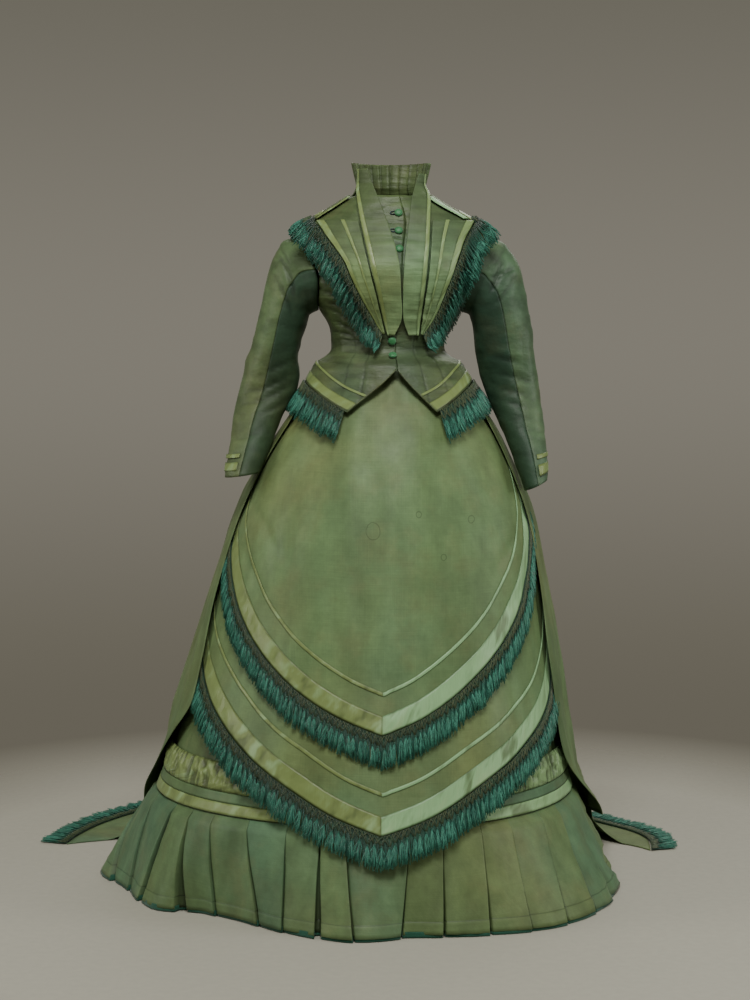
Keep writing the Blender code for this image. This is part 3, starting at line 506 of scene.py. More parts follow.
def walls(index):
    """Faces round tubes, from their vertices' numbers, with the last axis round the tube."""
    ahead = np.roll(index, -1, axis=-1)
    quads = np.stack([index[..., :-1, :], ahead[..., :-1, :], ahead[..., 1:, :], index[..., 1:, :]], axis=-1)
    return quads.reshape(-1, 4).tolist()


def prisms(starts, paths, radii, sides, first=0):
    """Vertices and faces of many strands at once. paths: strands x points x 3; radii: strands x points."""
    along = unit(np.gradient(paths, axis=1))
    side = unit(np.cross(along, starts[:, None, :]))
    up = np.cross(side, along)
    turns = 2 * np.pi * np.arange(sides)[:, None] / sides
    ring = side[:, :, None, :] * np.cos(turns) + up[:, :, None, :] * np.sin(turns)
    points = (paths[:, :, None, :] + ring * radii[:, :, None, None]).reshape(-1, 3)
    index = first + np.arange(len(points)).reshape(*radii.shape, sides)
    return points, walls(index) + index[:, 0, ::-1].tolist() + index[:, -1].tolist()


# The fringe: a netted heading, a knot for each tassel, its core and its strands
TASSEL_PITCH = 0.0125
STRANDS = 23
BACKING = 6
NET_DEPTH = 0.021


def add_fringe(name, cloth, place, along, seed, drop=FRINGE_LENGTH, strands=STRANDS):
    """The fringe of a cloth. place(s, down) gives front points and normals, s from 0 to 1 along it."""
    random = np.random.default_rng(seed)
    count = int(round(along / TASSEL_PITCH))
    step = 1.0 / count
    centre = (np.arange(count) + 0.5 + random.uniform(-0.18, 0.18, count))[:, None] * step
    net = NET_DEPTH * random.uniform(0.8, 1.15, count)[:, None]
    points = []
    faces = []
    tones = []

    def add(s, down, lift, radius, tone, sides=3):
        """Hang strands: place along the fringe, drop, lift, radius and tone at each point of each one."""
        s, down, lift, radius, tone = np.broadcast_arrays(s, down, lift, radius, tone)
        spot, normal = place(np.clip(s, 0.0, 1.0), down)
        first = sum(len(p) for p in points)
        made, polygons = prisms(normal[:, 0], spot + normal * lift[..., None], radius, sides, first)
        points.append(made)
        faces.extend(polygons)
        tones.append(np.repeat(tone.reshape(-1), sides))

    # netting: threads from the heading to each knot, and two cords along the heading
    t = np.linspace(0, 1, 3)[None, :]
    for lean in (-1.05, -0.45, 0.45, 1.05):
        s = centre + lean * step * (1 - t) ** 1.3
        add(s, net * t, 0.0034 + 0.0006 * abs(lean), 0.0008, random.uniform(-0.3, 0.2, s.shape) - 0.34)
    for low in (0.0012, 0.0032):
        add(np.linspace(0, 1, 3 * count + 1)[None, :], low, 0.0014, 0.0012, 0.08)
    # the loose ends behind the tassels
    ends = count * BACKING
    s = (np.arange(ends)[:, None] + 0.5) / BACKING * step + random.normal(0, 0.12 * step, (ends, 1)) * t
    long = drop * random.uniform(0.74, 0.96, (ends, 1))
    add(s, 0.002 + long * t, 0.0014, 0.0012, 0.04 + 0.62 * t)
    # knots: short thick stretches of wound thread
    t = np.linspace(-1, 1, 4)[None, :]
    add(centre, net + t * 0.0034, 0.0038, 0.0023 * np.sqrt(1.04 - t**2), 0.22, 4)
    # the core and the strands of each tassel
    swing = random.normal(0, 0.2, count)[:, None]
    length = drop * random.uniform(0.88, 1.04, count)[:, None]
    t = np.linspace(0, 1, 4)[None, :]
    add(centre + step * swing * t**1.5, net + (length * 0.86 - net) * t, 0.0042, 0.0014 + 0.0014 * t**0.6,
        0.3 + 0.3 * t, 5)
    owner = np.repeat(np.arange(count), strands)
    column = (len(owner), 1)
    angle = random.uniform(0, 2 * np.pi, column)
    reach = np.sqrt(random.uniform(0.15, 1.0, column))
    long = length[owner] * random.uniform(0.8, 1.0, column)
    long = np.where(random.uniform(0, 1, column) < 0.06, long * 0.82, long)
    puff = reach * t**0.55 * (1 - 0.18 * t**2)
    s = centre[owner] + step * (0.66 * np.cos(angle) * puff + swing[owner] * t**1.5)
    s = s + random.normal(0, 0.22 * step, column) * t**1.5
    s = s + random.normal(0, 0.13 * step, s.shape) * np.sin(np.pi * t * 0.9)
    lift = np.maximum(0.0044 + 0.0046 * np.sin(angle) * puff, 0.0006)
    # Painted light: the strands on the front of each tassel are lighter and those behind it darker.
    tone = 0.5 + 0.36 * t + random.uniform(-0.42, 0.42, column) + 0.14 * np.sin(angle)
    add(s, net[owner] + (long - net[owner]) * t, lift, 0.00085 * (1.0 - 0.35 * t**2), tone)
    mesh = mesh_from(name, np.concatenate(points), faces, FRINGE)
    add_tone(mesh, "tone", np.concatenate(tones))
    CLOTHS[cloth]["with_pieces"].append(add_piece(name + "_strands", mesh, [name]))


# Materials

class Nodes:
    """Short calls for a material's nodes."""

    def __init__(self, name):
        self.material = bpy.data.materials.new(name)
        self.material.use_nodes = True
        self.tree = self.material.node_tree
        self.place = self.add("TexCoord", {}).outputs["Object"]
        self.uv = self.add("UVMap", {}, uv_map="Threads").outputs["UV"]

    def add(self, kind, values, **settings):
        """A new node with its settings, and with values in its inputs."""
        node = self.tree.nodes.new("ShaderNode" + kind)
        for key, setting in settings.items():
            setattr(node, key, setting)
        self.feed(node, values)
        return node

    def feed(self, node, values):
        """Give each input its number, vector or colour, or a link from another node's output."""
        for key, value in values.items():
            socket = node.inputs[key]
            if isinstance(value, bpy.types.NodeSocket):
                self.tree.links.new(value, socket)
            elif isinstance(value, tuple) and socket.type == "RGBA":
                socket.default_value = (*value, 1.0)
            else:
                socket.default_value = value

    def noise(self, vector, scale, detail=2.0, rough=0.5):
        """Noise of one scale, or of one for each axis."""
        if isinstance(scale, tuple):
            vector = self.add("Mapping", {"Vector": vector, "Scale": scale}).outputs[0]
            scale = 1.0
        values = {"Vector": vector, "Scale": scale, "Detail": detail, "Roughness": rough}
        return self.add("TexNoise", values).outputs["Fac"]

    def math(self, kind, a, b=0.0):
        return self.add("Math", {0: a, 1: b}, operation=kind).outputs[0]

    def times(self, a, b):
        return self.math("MULTIPLY", a, b)

    def ramp(self, value, low, high, start=0.0, end=1.0):
        return self.add("MapRange", {0: value, 1: low, 2: high, 3: start, 4: end}).outputs[0]

    def mix(self, share, a, b, kind="MIX"):
        return self.add("Mix", {0: share, 6: a, 7: b}, data_type="RGBA", blend_type=kind).outputs[2]

    def attribute(self, name):
        return self.add("Attribute", {}, attribute_name=name).outputs["Fac"]

    def bump(self, height, strength, distance, under=None):
        values = {"Height": height, "Strength": strength, "Distance": distance}
        if under:
            values["Normal"] = under
        return self.add("Bump", values).outputs["Normal"]

    def shader(self, colour, rough, values):
        """The finished material. A tuple for rough is the grain that varies it, and its two ends."""
        if isinstance(rough, tuple):
            rough = self.ramp(rough[0], 0.3, 0.7, *rough[1:])
        values = {"Base Color": colour, "Roughness": rough, **values}
        self.feed(self.tree.nodes["Principled BSDF"], values)
        return self.material


def silk(name, tones, gloss=0.26, streak=0.35, rumple=0.3, pressed=(26.0, 26.0, 12.0), stains=()):
    """Changeable silk: ribs along the weft, soft upright streaks, clouds of tone from olive to teal and a
    faint brown mottle. Its wrinkles darken and lighten its colour, which is painted shade and painted
    highlight. pressed is the scale of its wrinkles on each axis. A stain is the x, z and radius of a water
    ring."""
    n = Nodes(name)
    light, dark, olive, teal = tones
    brown = tuple(0.6 * a + 0.4 * b for a, b in zip(olive, (0.165, 0.12, 0.07)))
    weft = n.noise(n.uv, (14.0, 900.0, 1.0))
    warp = n.noise(n.uv, (700.0, 9.0, 1.0))
    wrinkle_grain = n.noise(n.place, pressed, 3.0)
    # The attribute added here turns the silk towards teal: painted light where a piece sets it by side.
    drifts = n.math("ADD", n.noise(n.place, (3.4, 3.4, 1.5), 3.0), n.times(n.attribute("tint"), 0.3))
    colour = n.mix(n.ramp(n.noise(n.place, 4.2, 3.0), 0.3, 0.72), light, dark)
    colour = n.mix(n.ramp(n.noise(n.place, 2.1), 0.46, 0.66, 0.0, 0.8), colour, olive)
    colour = n.mix(n.ramp(drifts, 0.5, 0.72, 0.0, 0.6), colour, teal)
    colour = n.mix(n.ramp(n.noise(n.place, 13.0, 4.0, 0.6), 0.5, 0.68, 0.0, 0.26), colour, brown)
    shade = n.ramp(n.attribute("shade"), 0.0, 1.0, 1.0, 0.22)
    # The wrinkles darken the colour in their hollows and lighten it on their ridges: painted shade and
    # painted highlight.
    for grain, low, high, less, more in (
        (n.math("ADD", weft, warp), 0.7, 1.3, 0.16 * streak, 0.16 * streak),
        (n.noise(n.uv, (5.0, 320.0, 1.0), 1.0), 0.3, 0.72, 0.05 * streak, 0.07 * streak),
        (n.noise(n.place, (17.0, 17.0, 0.9), 3.0), 0.3, 0.7, 0.3 * streak, 0.4 * streak),
        (n.noise(n.place, 48.0, 4.0, 0.7), 0.3, 0.7, 0.1, 0.1),
        (wrinkle_grain, 0.34, 0.66, 0.5 * rumple, 0.25 * rumple),
    ):
        shade = n.times(shade, n.ramp(grain, low, high, 1.0 - less, 1.0 + more))
    for x, z, radius in stains:
        split = n.add("SeparateXYZ", {0: n.place})
        stray = n.ramp(n.noise(n.place, 90.0, 1.0), 0.0, 1.0, -0.0016, 0.0016)
        wide = n.math("SUBTRACT", split.outputs["X"], x)
        high = n.times(n.math("SUBTRACT", split.outputs["Z"], z), 0.85)
        away = n.math("SQRT", n.math("ADD", n.times(wide, wide), n.times(high, high)))
        off = n.math("ABSOLUTE", n.math("SUBTRACT", n.math("ADD", away, stray), radius))
        shade = n.times(shade, n.ramp(off, 0.0003, 0.0013, 0.66, 1.0))
    ribs = n.bump(n.math("ADD", weft, n.times(warp, 0.6)), 0.25, 0.0006)
    crisp = n.bump(n.noise(n.place, (85.0, 85.0, 59.5), 3.0, 0.6), rumple * 0.8, 0.0016, ribs)
    return n.shader(n.mix(1.0, colour, shade, "MULTIPLY"), (n.noise(n.place, 9.0, 3.0), 0.42, 0.58), {
        "Normal": n.bump(wrinkle_grain, rumple * 1.4, 0.005, crisp), "Specular IOR Level": gloss, "Sheen Weight": 0.04,
        "Sheen Roughness": 0.4, "Sheen Tint": (0.62, 0.9, 0.5)})


# How far the folds across a satin band lean
SATIN_SKEW = 0.6


def satin(name):
    """Satin ribbon: smooth and glossy, from dark olive to lighter mint. In patches where it lies rumpled, its
    folds are painted darker in their hollows and lighter on their ridges: painted shade and painted
    highlight.
    """
    n = Nodes(name)
    patches = n.noise(n.place, (7.0, 7.0, 5.6))
    skewed = n.add("Mapping", {"Vector": n.uv, "Rotation": (0.0, 0.0, SATIN_SKEW)})
    folds = n.noise(skewed.outputs[0], (42.0, 15.0, 1.0))
    weave = n.noise(n.uv, (900.0, 30.0, 1.0))
    rumpled = n.ramp(patches, 0.4, 0.6, 0.12, 1.0)
    # The attribute added here turns the satin towards lighter mint: painted light where a piece sets it by
    # side.
    turned = n.ramp(n.math("ADD", n.noise(n.place, 3.0), n.attribute("tint")), 0.6, 1.4)
    colour = n.mix(turned, (0.19, 0.25, 0.085), (0.27, 0.47, 0.235))
    # Painted shade in the folds' hollows, then painted highlight on their ridges.
    dark = n.times(rumpled, n.ramp(folds, 0.34, 0.48, 0.7, 0.0))
    colour = n.mix(dark, colour, (0.072, 0.098, 0.034))
    colour = n.mix(n.times(rumpled, n.ramp(folds, 0.52, 0.66, 0.0, 0.7)), colour, (0.31, 0.47, 0.24))
    shade = n.times(n.ramp(weave, 0.3, 0.7, 0.93, 1.06), n.ramp(n.attribute("shade"), 0.0, 1.0, 1.0, 0.2))
    return n.shader(n.mix(1.0, colour, shade, "MULTIPLY"), (patches, 0.32, 0.46), {
        "Normal": n.bump(folds, 0.55, 0.005, n.bump(weave, 0.15, 0.0004)), "Specular IOR Level": 0.36,
        "Sheen Weight": 0.08, "Sheen Roughness": 0.4, "Sheen Tint": (0.6, 0.9, 0.6)})


def fringe_silk(name):
    """Twisted silk: dark netting, teal strands and paler tips."""
    n = Nodes(name)
    tone = n.attribute("tone")
    strands = n.noise(n.place, 420.0)
    colour = n.mix(n.ramp(tone, -0.55, 0.0), (0.104, 0.124, 0.056), (0.018, 0.04, 0.022))
    colour = n.mix(n.ramp(tone, 0.02, 0.4), colour, (0.016, 0.104, 0.072))
    colour = n.mix(n.ramp(tone, 0.4, 1.05), colour, (0.074, 0.3, 0.214))
    # Painted shade: darker patches among the strands.
    colour = n.mix(n.ramp(strands, 0.35, 0.7, 0.0, 0.35), colour, (0.004, 0.04, 0.03))
    colour = n.mix(n.ramp(n.noise(n.place, 60.0), 0.5, 0.7, 0.0, 0.3), colour, (0.03, 0.12, 0.06))
    return n.shader(colour, (strands, 0.46, 0.66), {
        "Normal": n.bump(strands, 0.35, 0.0005), "Specular IOR Level": 0.35, "Sheen Weight": 0.12,
        "Sheen Roughness": 0.4})


def plain_cloth(name, light, dark, scale, rough):
    """A close cloth or braid with a fine weave in object space."""
    n = Nodes(name)
    grain = n.noise(n.place, scale, 3.0)
    return n.shader(n.mix(n.ramp(grain, 0.35, 0.68), light, dark), (grain, rough, rough + 0.15), {
        "Normal": n.bump(grain, 0.4, 0.0006), "Sheen Weight": 0.25})


# The silks' tones: light, dark, olive and teal. All are one green silk: the apron and facing tones are
# lighter copies, which is painted light, and the bodice, sleeve and under-sleeve tones darker copies, which
# is painted shade.
TAFFETA_TONES = (0.122, 0.186, 0.078), (0.084, 0.144, 0.064), (0.152, 0.172, 0.06), (0.07, 0.156, 0.098)
APRON_PAINTED_LIGHT_TONES = (0.138, 0.214, 0.088), (0.1, 0.172, 0.074), (0.17, 0.194, 0.068), (0.086, 0.182, 0.112)
BODICE_PAINTED_SHADE_TONES = (0.084, 0.124, 0.046), (0.046, 0.082, 0.032), (0.11, 0.112, 0.038), (0.044, 0.098, 0.06)
SLEEVE_PAINTED_SHADE_TONES = (0.1, 0.15, 0.062), (0.062, 0.112, 0.05), (0.128, 0.134, 0.05), (0.05, 0.12, 0.082)
FACING_PAINTED_LIGHT_TONES = (0.236, 0.34, 0.142), (0.186, 0.284, 0.116), (0.25, 0.286, 0.108), (0.176, 0.33, 0.176)
UNDER_PAINTED_SHADE_TONES = (0.034, 0.07, 0.04), (0.024, 0.05, 0.03), (0.056, 0.08, 0.032), (0.024, 0.066, 0.044)
WATER_RINGS = [
    (-0.0333, -0.366, 0.014), (0.1607, -0.3455, 0.0062), (0.0568, -0.3345, 0.0052),
    (0.105, -0.4165, 0.0048),
]
TAFFETA = silk("taffeta_cloth", TAFFETA_TONES)
# Lighter copies of the taffeta for the aprons and facings are painted light; darker copies for the bodice,
# sleeves and under sleeves are painted shade.
APRON_PAINTED_LIGHT_TAFFETA = silk("apron_painted_light_taffeta", APRON_PAINTED_LIGHT_TONES, rumple=0.18, streak=0.45, stains=WATER_RINGS)
BODICE_PAINTED_SHADE_TAFFETA = silk("bodice_painted_shade_taffeta", BODICE_PAINTED_SHADE_TONES, gloss=0.34, rumple=0.66, pressed=(13.0, 13.0, 60.0))
SLEEVE_PAINTED_SHADE_TAFFETA = silk("sleeve_painted_shade_taffeta", SLEEVE_PAINTED_SHADE_TONES, gloss=0.34, rumple=0.55, pressed=(18.0, 18.0, 34.0))
FACING_PAINTED_LIGHT_TAFFETA = silk("facing_painted_light_taffeta", FACING_PAINTED_LIGHT_TONES, gloss=0.32, rumple=0.42, pressed=(9.0, 9.0, 64.0))
UNDER_SLEEVE_PAINTED_SHADE = silk("under_sleeve_painted_shade_taffeta", UNDER_PAINTED_SHADE_TONES, rumple=0.42, pressed=(18.0, 18.0, 34.0))
SATIN = satin("satin_ribbon")
FRINGE = fringe_silk("fringe_silk")
BUTTON = plain_cloth("button_cloth", (0.03, 0.19, 0.06), (0.018, 0.13, 0.04), 900.0, 0.42)
BRAID = plain_cloth("brush_braid_wool", (0.003, 0.075, 0.04), (0.002, 0.045, 0.026), 500.0, 0.8)
LOOP = plain_cloth("loop_cord", (0.012, 0.03, 0.05), (0.006, 0.018, 0.03), 1200.0, 0.6)


# The skirt

def underskirt():
    azimuth, height = lattice(-180, 175, 72, 1.098, 0.184, 26)
    inward = FOUNDATION_EASE * (1 - 0.5 * ease(height, 1.05, 1.098))
    grid = moved(skirt_base, azimuth, height, -inward - FOUNDATION_IN * (1 - ease(height, 0, 0.2)))
    foot = moved(skirt_base, azimuth[-1], FLOOR_GAP, -FOUNDATION_EASE - FOUNDATION_IN)
    foot[:, 2] = FLOOR_GAP
    share = np.linspace(0, 1, 6)[1:, None, None]
    grid = np.concatenate([grid, grid[-1] * (1 - share) + foot * share])
    add_cloth("underskirt", grid, TAFFETA, "hung", closed=True)


def hem_bands():
    """The ruched, plain and satin bands above the flounce, across the front and sides."""
    span = 104
    for name, top, low, out, material, slot in (
        ("plain_band", 0.229, 0.2112, 0.0022, TAFFETA, "taffeta"),
        ("satin_band", 0.2105, 0.1905, 0.0024, SATIN, "satin"),
    ):
        azimuth, height = lattice(-span, span, 200, top, low, 6)
        grid = moved(skirt_base, azimuth, height, out)
        grid = pushed(grid, 0.0007 * noise(grid, (0.03, 0.03, 0.008), 5))
        # Painted light: towards the right side the taffeta band turns tealer and the satin band lighter mint.
        add_cloth(name, grid, material, "hung", "underskirt_cloth", slot=slot, wall=TRIM,
                  tint=0.7 * ease(azimuth, 0, 30))
    top, low = 0.283, 0.2298
    azimuth, height = lattice(-span, span, 560, top, low, 15)
    share = (top - height) / (top - low)
    spot = joined(azimuth * 0.0072, height, 0)
    gather = 1 - 2 * np.abs(noise(spot, (0.01, 0.04, 1.0), 11)) + 0.5 * noise(spot, (0.014, 0.01, 1.0), 13)
    gather = gather - 0.8 * np.abs(noise(spot, (0.0055, 0.018, 1.0), 12))
    swell = np.sin(np.pi * share) ** 0.5 * (0.004 + 0.0034 * gather)
    rows = np.abs(np.sin(np.pi * share * 3.0)) ** 0.5
    grid = moved(skirt_base, azimuth, height, 0.0018 + swell + 0.0008 * rows)
    # Painted shade in the gathers' hollows, and painted light: lighter mint towards the right side.
    add_cloth("ruched_band", grid, SATIN, "gathered", "underskirt_cloth", slot="satin", wall=TRIM,
              shade=0.75 * ease(-gather, -0.2, 0.7), tint=0.5 * ease(azimuth, 0, 30))


def flounce_grid(heights):
    """Points, shade and tint of the flounce at these heights, one column after another round the pleats."""
    back = []
    gap = (PLEATS[0][1] + 360 - PLEATS[-1][1]) / (BACK_PLEATS + 1)
    random = np.random.default_rng(31)
    for i in range(BACK_PLEATS):
        edge = PLEATS[-1][1] + gap * (i + 1)
        lean, *slit = random.uniform((-2, 0.4, 0.4, 0.0), (2, 1.4, 0.9, 0.4))
        back.append((edge + lean, edge, *slit))
    pleats = PLEATS + back
    turned = np.random.default_rng(33).uniform(-0.5, 0.9, len(pleats))
    columns = []
    for i, (top, hem, wide, deep, early) in enumerate(pleats):
        turn = 360 if i == 0 else 0
        from_top = pleats[i - 1][0] - turn
        from_hem = pleats[i - 1][1] - turn
        for u, rise, dark in PLEAT:
            columns.append((from_top + (top - from_top) * u, from_hem + (hem - from_hem) * u,
                            pleats[i - 1][2] * (1 - u), rise, 0.0, dark, early, turned[i]))
        for u, rise, sunk, dark in SLIT:
            columns.append((top, hem, wide * u, rise, sunk * deep, dark, early, turned[i]))
    top, hem, slit, rise, sunk, dark, early, tint = (np.array(c)[None, :] for c in zip(*columns))
    height = np.asarray(heights)[:, None] * np.ones_like(top)
    drop = 1 - height / FLOUNCE_TOP
    opened = early * ease(drop, 0.0, 0.15) + (1 - early) * ease(drop, 0.05, 1.0) * ease(drop, 0.0, 0.15)
    azimuth = top + (hem - top) * drop + slit * (0.1 + 0.9 * opened)
    depth = FLAT_PLEAT * ease(drop, 0.0, 0.1) + (PLEAT_DEPTH_HEM - FLAT_PLEAT) * opened
    step = PLEAT_STEP * (0.12 + 0.88 * ease(drop, 0.0, 0.5))
    wave = smooth(HEM_WAVE, wrapped(azimuth)) * np.maximum(drop, 0) ** 1.3
    stand = FLOUNCE_STAND * (1 - ease(height, 0.168, FLOUNCE_TOP))
    point = skirt_base(azimuth, height)
    out = stand + wave - depth * sunk + step * (rise - 0.75)
    return point + plan_of(point) * out[..., None], dark * ease(drop, 0.0, 0.25) * 0.75, tint


def flounce():
    above_tuck = np.linspace(FLOUNCE_TOP, 0.165, 5), np.linspace(0.155, 0.036, 12)
    at_tuck = HEM_TUCK + np.array([0.0022, 0.0009, 0.0, -0.0012])
    heights = np.concatenate([*above_tuck, at_tuck, np.linspace(0.022, 0.0062, 3)])
    grid, shade, tint = flounce_grid(heights)
    crumple = noise(grid, (0.05, 0.05, 0.09), 3) * 0.0032 + noise(grid, (0.018, 0.018, 0.035), 4) * 0.001
    rough = noise(grid, (0.05, 0.05, 0.02), 8) * 0.009 + noise(grid, (0.02, 0.02, 0.012), 9) * 0.003
    crumple = crumple + ease(grid[..., 0], 0.36, 0.46) * ease(0.2 - grid[..., 2], 0.0, 0.1) * rough
    above = grid[..., 2] - HEM_TUCK
    tuck = bell(above, 0.0009) * (above > -0.0009)
    drop = 1 - grid[..., 2] / FLOUNCE_TOP
    out = crumple * ease(drop, 0, 0.25) - 0.0006 * tuck + 0.0009 * (above < 0.0002)
    grid = grid + plan_of(grid) * out[..., None]
    add_cloth("flounce", grid, TAFFETA, "gathered", "underskirt_cloth", closed=True,
              shade=shade + 0.55 * tuck, tint=tint)
    hem, dark, tint = flounce_grid(np.array([0.0115, 0.0078, 0.0045, FLOOR_GAP]))
    hem = hem + plan_of(hem) * (noise(hem, 0.006, 9) * 0.0006 - 0.0014)[..., None]
    add_cloth("brush_braid", hem, BRAID, "gathered", None, "_edge", "braid", 0.002, closed=True, shade=dark)


def apron(name, hem, layer, rows_down, seed):
    """A pointed apron with its wide band, piping and fringe."""
    turns = np.unique(np.concatenate([np.linspace(-APRON_SPAN, APRON_SPAN, 171), [-2.3, -2.0, -1.7]]))
    cloth = name + "_cloth"

    def hem_at(azimuth):
        return cornered(hem, azimuth, APRON_CORNERS)

    def cloth_point(azimuth, level, out=0.0):
        lift = HEM_LIFT * (1 - ease(level, 0.3, 0.46))
        point = moved(skirt_base, azimuth, level, tucked(level, layer) + lift + out)
        press = creases(point, APRON_CREASES) * (point[..., 1] < 0)
        press = press + 0.0026 * noise(point, (0.075, 0.075, 0.34), seed)
        press = press + 0.0009 * noise(point, (0.028, 0.028, 0.1), seed + 2)
        press = press * ease(SKIRT_TOP - level, 0.0, 0.12)
        return point + normal_at(skirt_base, azimuth, level) * press[..., None]

    azimuth, share = np.meshgrid(turns, np.linspace(1, 0, rows_down) ** 1.1)
    start = hem_at(azimuth)
    grid = cloth_point(azimuth, start + (SKIRT_TOP - start) * share)
    grid = pushed(grid, 0.0022 * noise(grid, (0.012, 0.05, 0.2), seed + 1) * ease(grid[..., 2], 0.93, 1.05))
    add_cloth(name, grid, APRON_PAINTED_LIGHT_TAFFETA, "draped", "underskirt_cloth")
    # The bands keep their width along the slope, so they are measured further where the hem is steep
    edge = skirt_base(turns, hem_at(turns))
    steep = np.abs(np.diff(edge[:, 2]) / np.linalg.norm(np.diff(edge[:, :2], axis=0), axis=-1))
    steep = np.maximum(np.concatenate([steep[:1], steep]), np.concatenate([steep, steep[-1:]]))
    slanted = np.minimum(np.sqrt(1 + steep**2), 1.35)
    strip_top = WIDE_BAND + PLAIN_STRIP
    for word, low, high, rows, swell, loose in (
        ("satin", 0.001, WIDE_BAND, 9, 0.0003, 0.002),
        ("piping", strip_top, strip_top + PIPING, 7, 0.0007, 0.0),
    ):
        azimuth, up = np.meshgrid(turns, np.linspace(high, low, rows))
        crown = crowned(up, low, high)
        band = cloth_point(azimuth, hem_at(azimuth) + up * slanted, ON_TOP + swell * crown)
        pucker = noise(band, (0.03, 0.03, 0.035), seed + 3)
        pucker = pucker + 0.6 * noise(band, (0.01, 0.01, 0.018), seed + 4)
        mitre = bell(azimuth + 2, 0.22)
        band = pushed(band, np.maximum(pucker, -0.2) * loose * crown - 0.0005 * mitre)
        shade = np.maximum(0.55 * mitre, 0.6 * stitched(up, low, high, 0.0004))
        # Painted light: right of the point the satin is lighter mint.
        add_ribbon(name + "_" + word, band, "draped", cloth, shade=shade, tint=1.0 * (azimuth > -2))

    def place(s, down):
        azimuth = APRON_SPAN * (2 * s - 1)
        level = hem_at(azimuth) - SEAM_GAP * 2 - down
        here = cloth_point(azimuth, level, 0.01 * (1 - ease(level, 0.1, 0.2)))
        return here, normal_at(skirt_base, azimuth, level)

    edge = cloth_point(turns, hem_at(turns))
    add_fringe(name + "_fringe", cloth, place, np.linalg.norm(np.diff(edge, axis=0), axis=-1).sum(), seed + 7)


def train_point(azimuth, share, fold):
    """Overskirt points. share runs 0 at the waist, 1 at the floor and 2 at the train's edge."""
    height = TRAIN_TOP + (TRAIN_FOOT - TRAIN_TOP) * np.minimum(share, 1.0)
    out = tucked(height, OVERSKIRT) + TRAIN_FOLD_DEPTH * (1 + fold) * ease(share, 0.1, 0.8)
    standing = moved(skirt_base, azimuth, height, out + TRAIN_LIFT * (1 - ease(height, 0.05, 0.24)))
    t = np.maximum(share - 1.0, 0.0)
    long = np.linalg.norm(standing[..., :2], axis=-1)
    laid = plan_of(standing) * (long + (smooth(TRAIN_EDGE, azimuth) - long) * t)[..., None]
    sweep = TRAIN_FOOT * np.maximum(0.0, 1 - 1.9 * t) ** 1.7
    ripple = 0.006 * (1 + fold) * np.maximum(0.0, 1 - t) * ease(t, 0.2, 0.5)
    laid[..., 2] = FLOOR_GAP + CLOTH + sweep + ripple
    return np.where((share <= 1.0)[..., None], standing, laid)


def overskirt():
    """Back overskirt: open in front, draped over the bustle, and swept out on the floor."""
    share = np.concatenate([np.linspace(0, 1, 76), np.linspace(1.02, 2.0, 28)])
    height = np.where(share < 1, TRAIN_TOP * (1 - share) + TRAIN_FOOT * share, 0.0)
    laid = np.maximum(share - 1.0, 0.0)
    first = smooth(RIGHT_FRONT_EDGE, height)
    first = first + (TRAIN_CORNERS[0] - first) * laid
    last = smooth(LEFT_FRONT_EDGE, height)
    last = last + (TRAIN_CORNERS[1] - last) * laid
    across, share = np.meshgrid(np.linspace(0, 1, 184), share)
    azimuth = first[:, None] + (last - first)[:, None] * across
    near_edge = np.minimum(across, 1 - across)
    inside = ease(near_edge, 0.0, 0.22)
    drift = 0.1 * noise(joined(azimuth / 40.0, share * 0.7, 0), 1.0, 21)
    wave = np.cos(2 * np.pi * (TRAIN_FOLDS * across + drift)) * inside
    grid = train_point(azimuth, share, wave + inside - 1)
    detail = 0.003 * noise(grid, (0.06, 0.06, 0.34), 22) + 0.0014 * noise(grid, (0.02, 0.02, 0.06), 23)
    detail = detail * ease(share, 0.02, 0.12) * (1 - ease(share, 0.98, 1.1)) * ease(near_edge, 0, 0.03)
    grid = pushed(grid, detail)
    grid[..., 2] = np.maximum(grid[..., 2], FLOOR_GAP + CLOTH)
    add_cloth("overskirt", grid, TAFFETA, "draped", "underskirt_cloth", shade=0.25 * ease(-wave, 0.3, 1.0))

    def place(s, down):
        azimuth = TRAIN_CORNERS[0] + (TRAIN_CORNERS[1] - TRAIN_CORNERS[0]) * s
        edge = train_point(azimuth, np.full(np.shape(azimuth), 2.0), 0.0)
        point = edge + plan_of(edge) * (SEAM_GAP * 2 + down)[..., None]
        point[..., 2] = FLOOR_GAP + 0.0012
        return point, np.broadcast_to(np.array([0.0, 0.0, 1.0]), point.shape)

    add_fringe("train_fringe", "overskirt_cloth", place, 2.35, 60, strands=11)


# The bodice

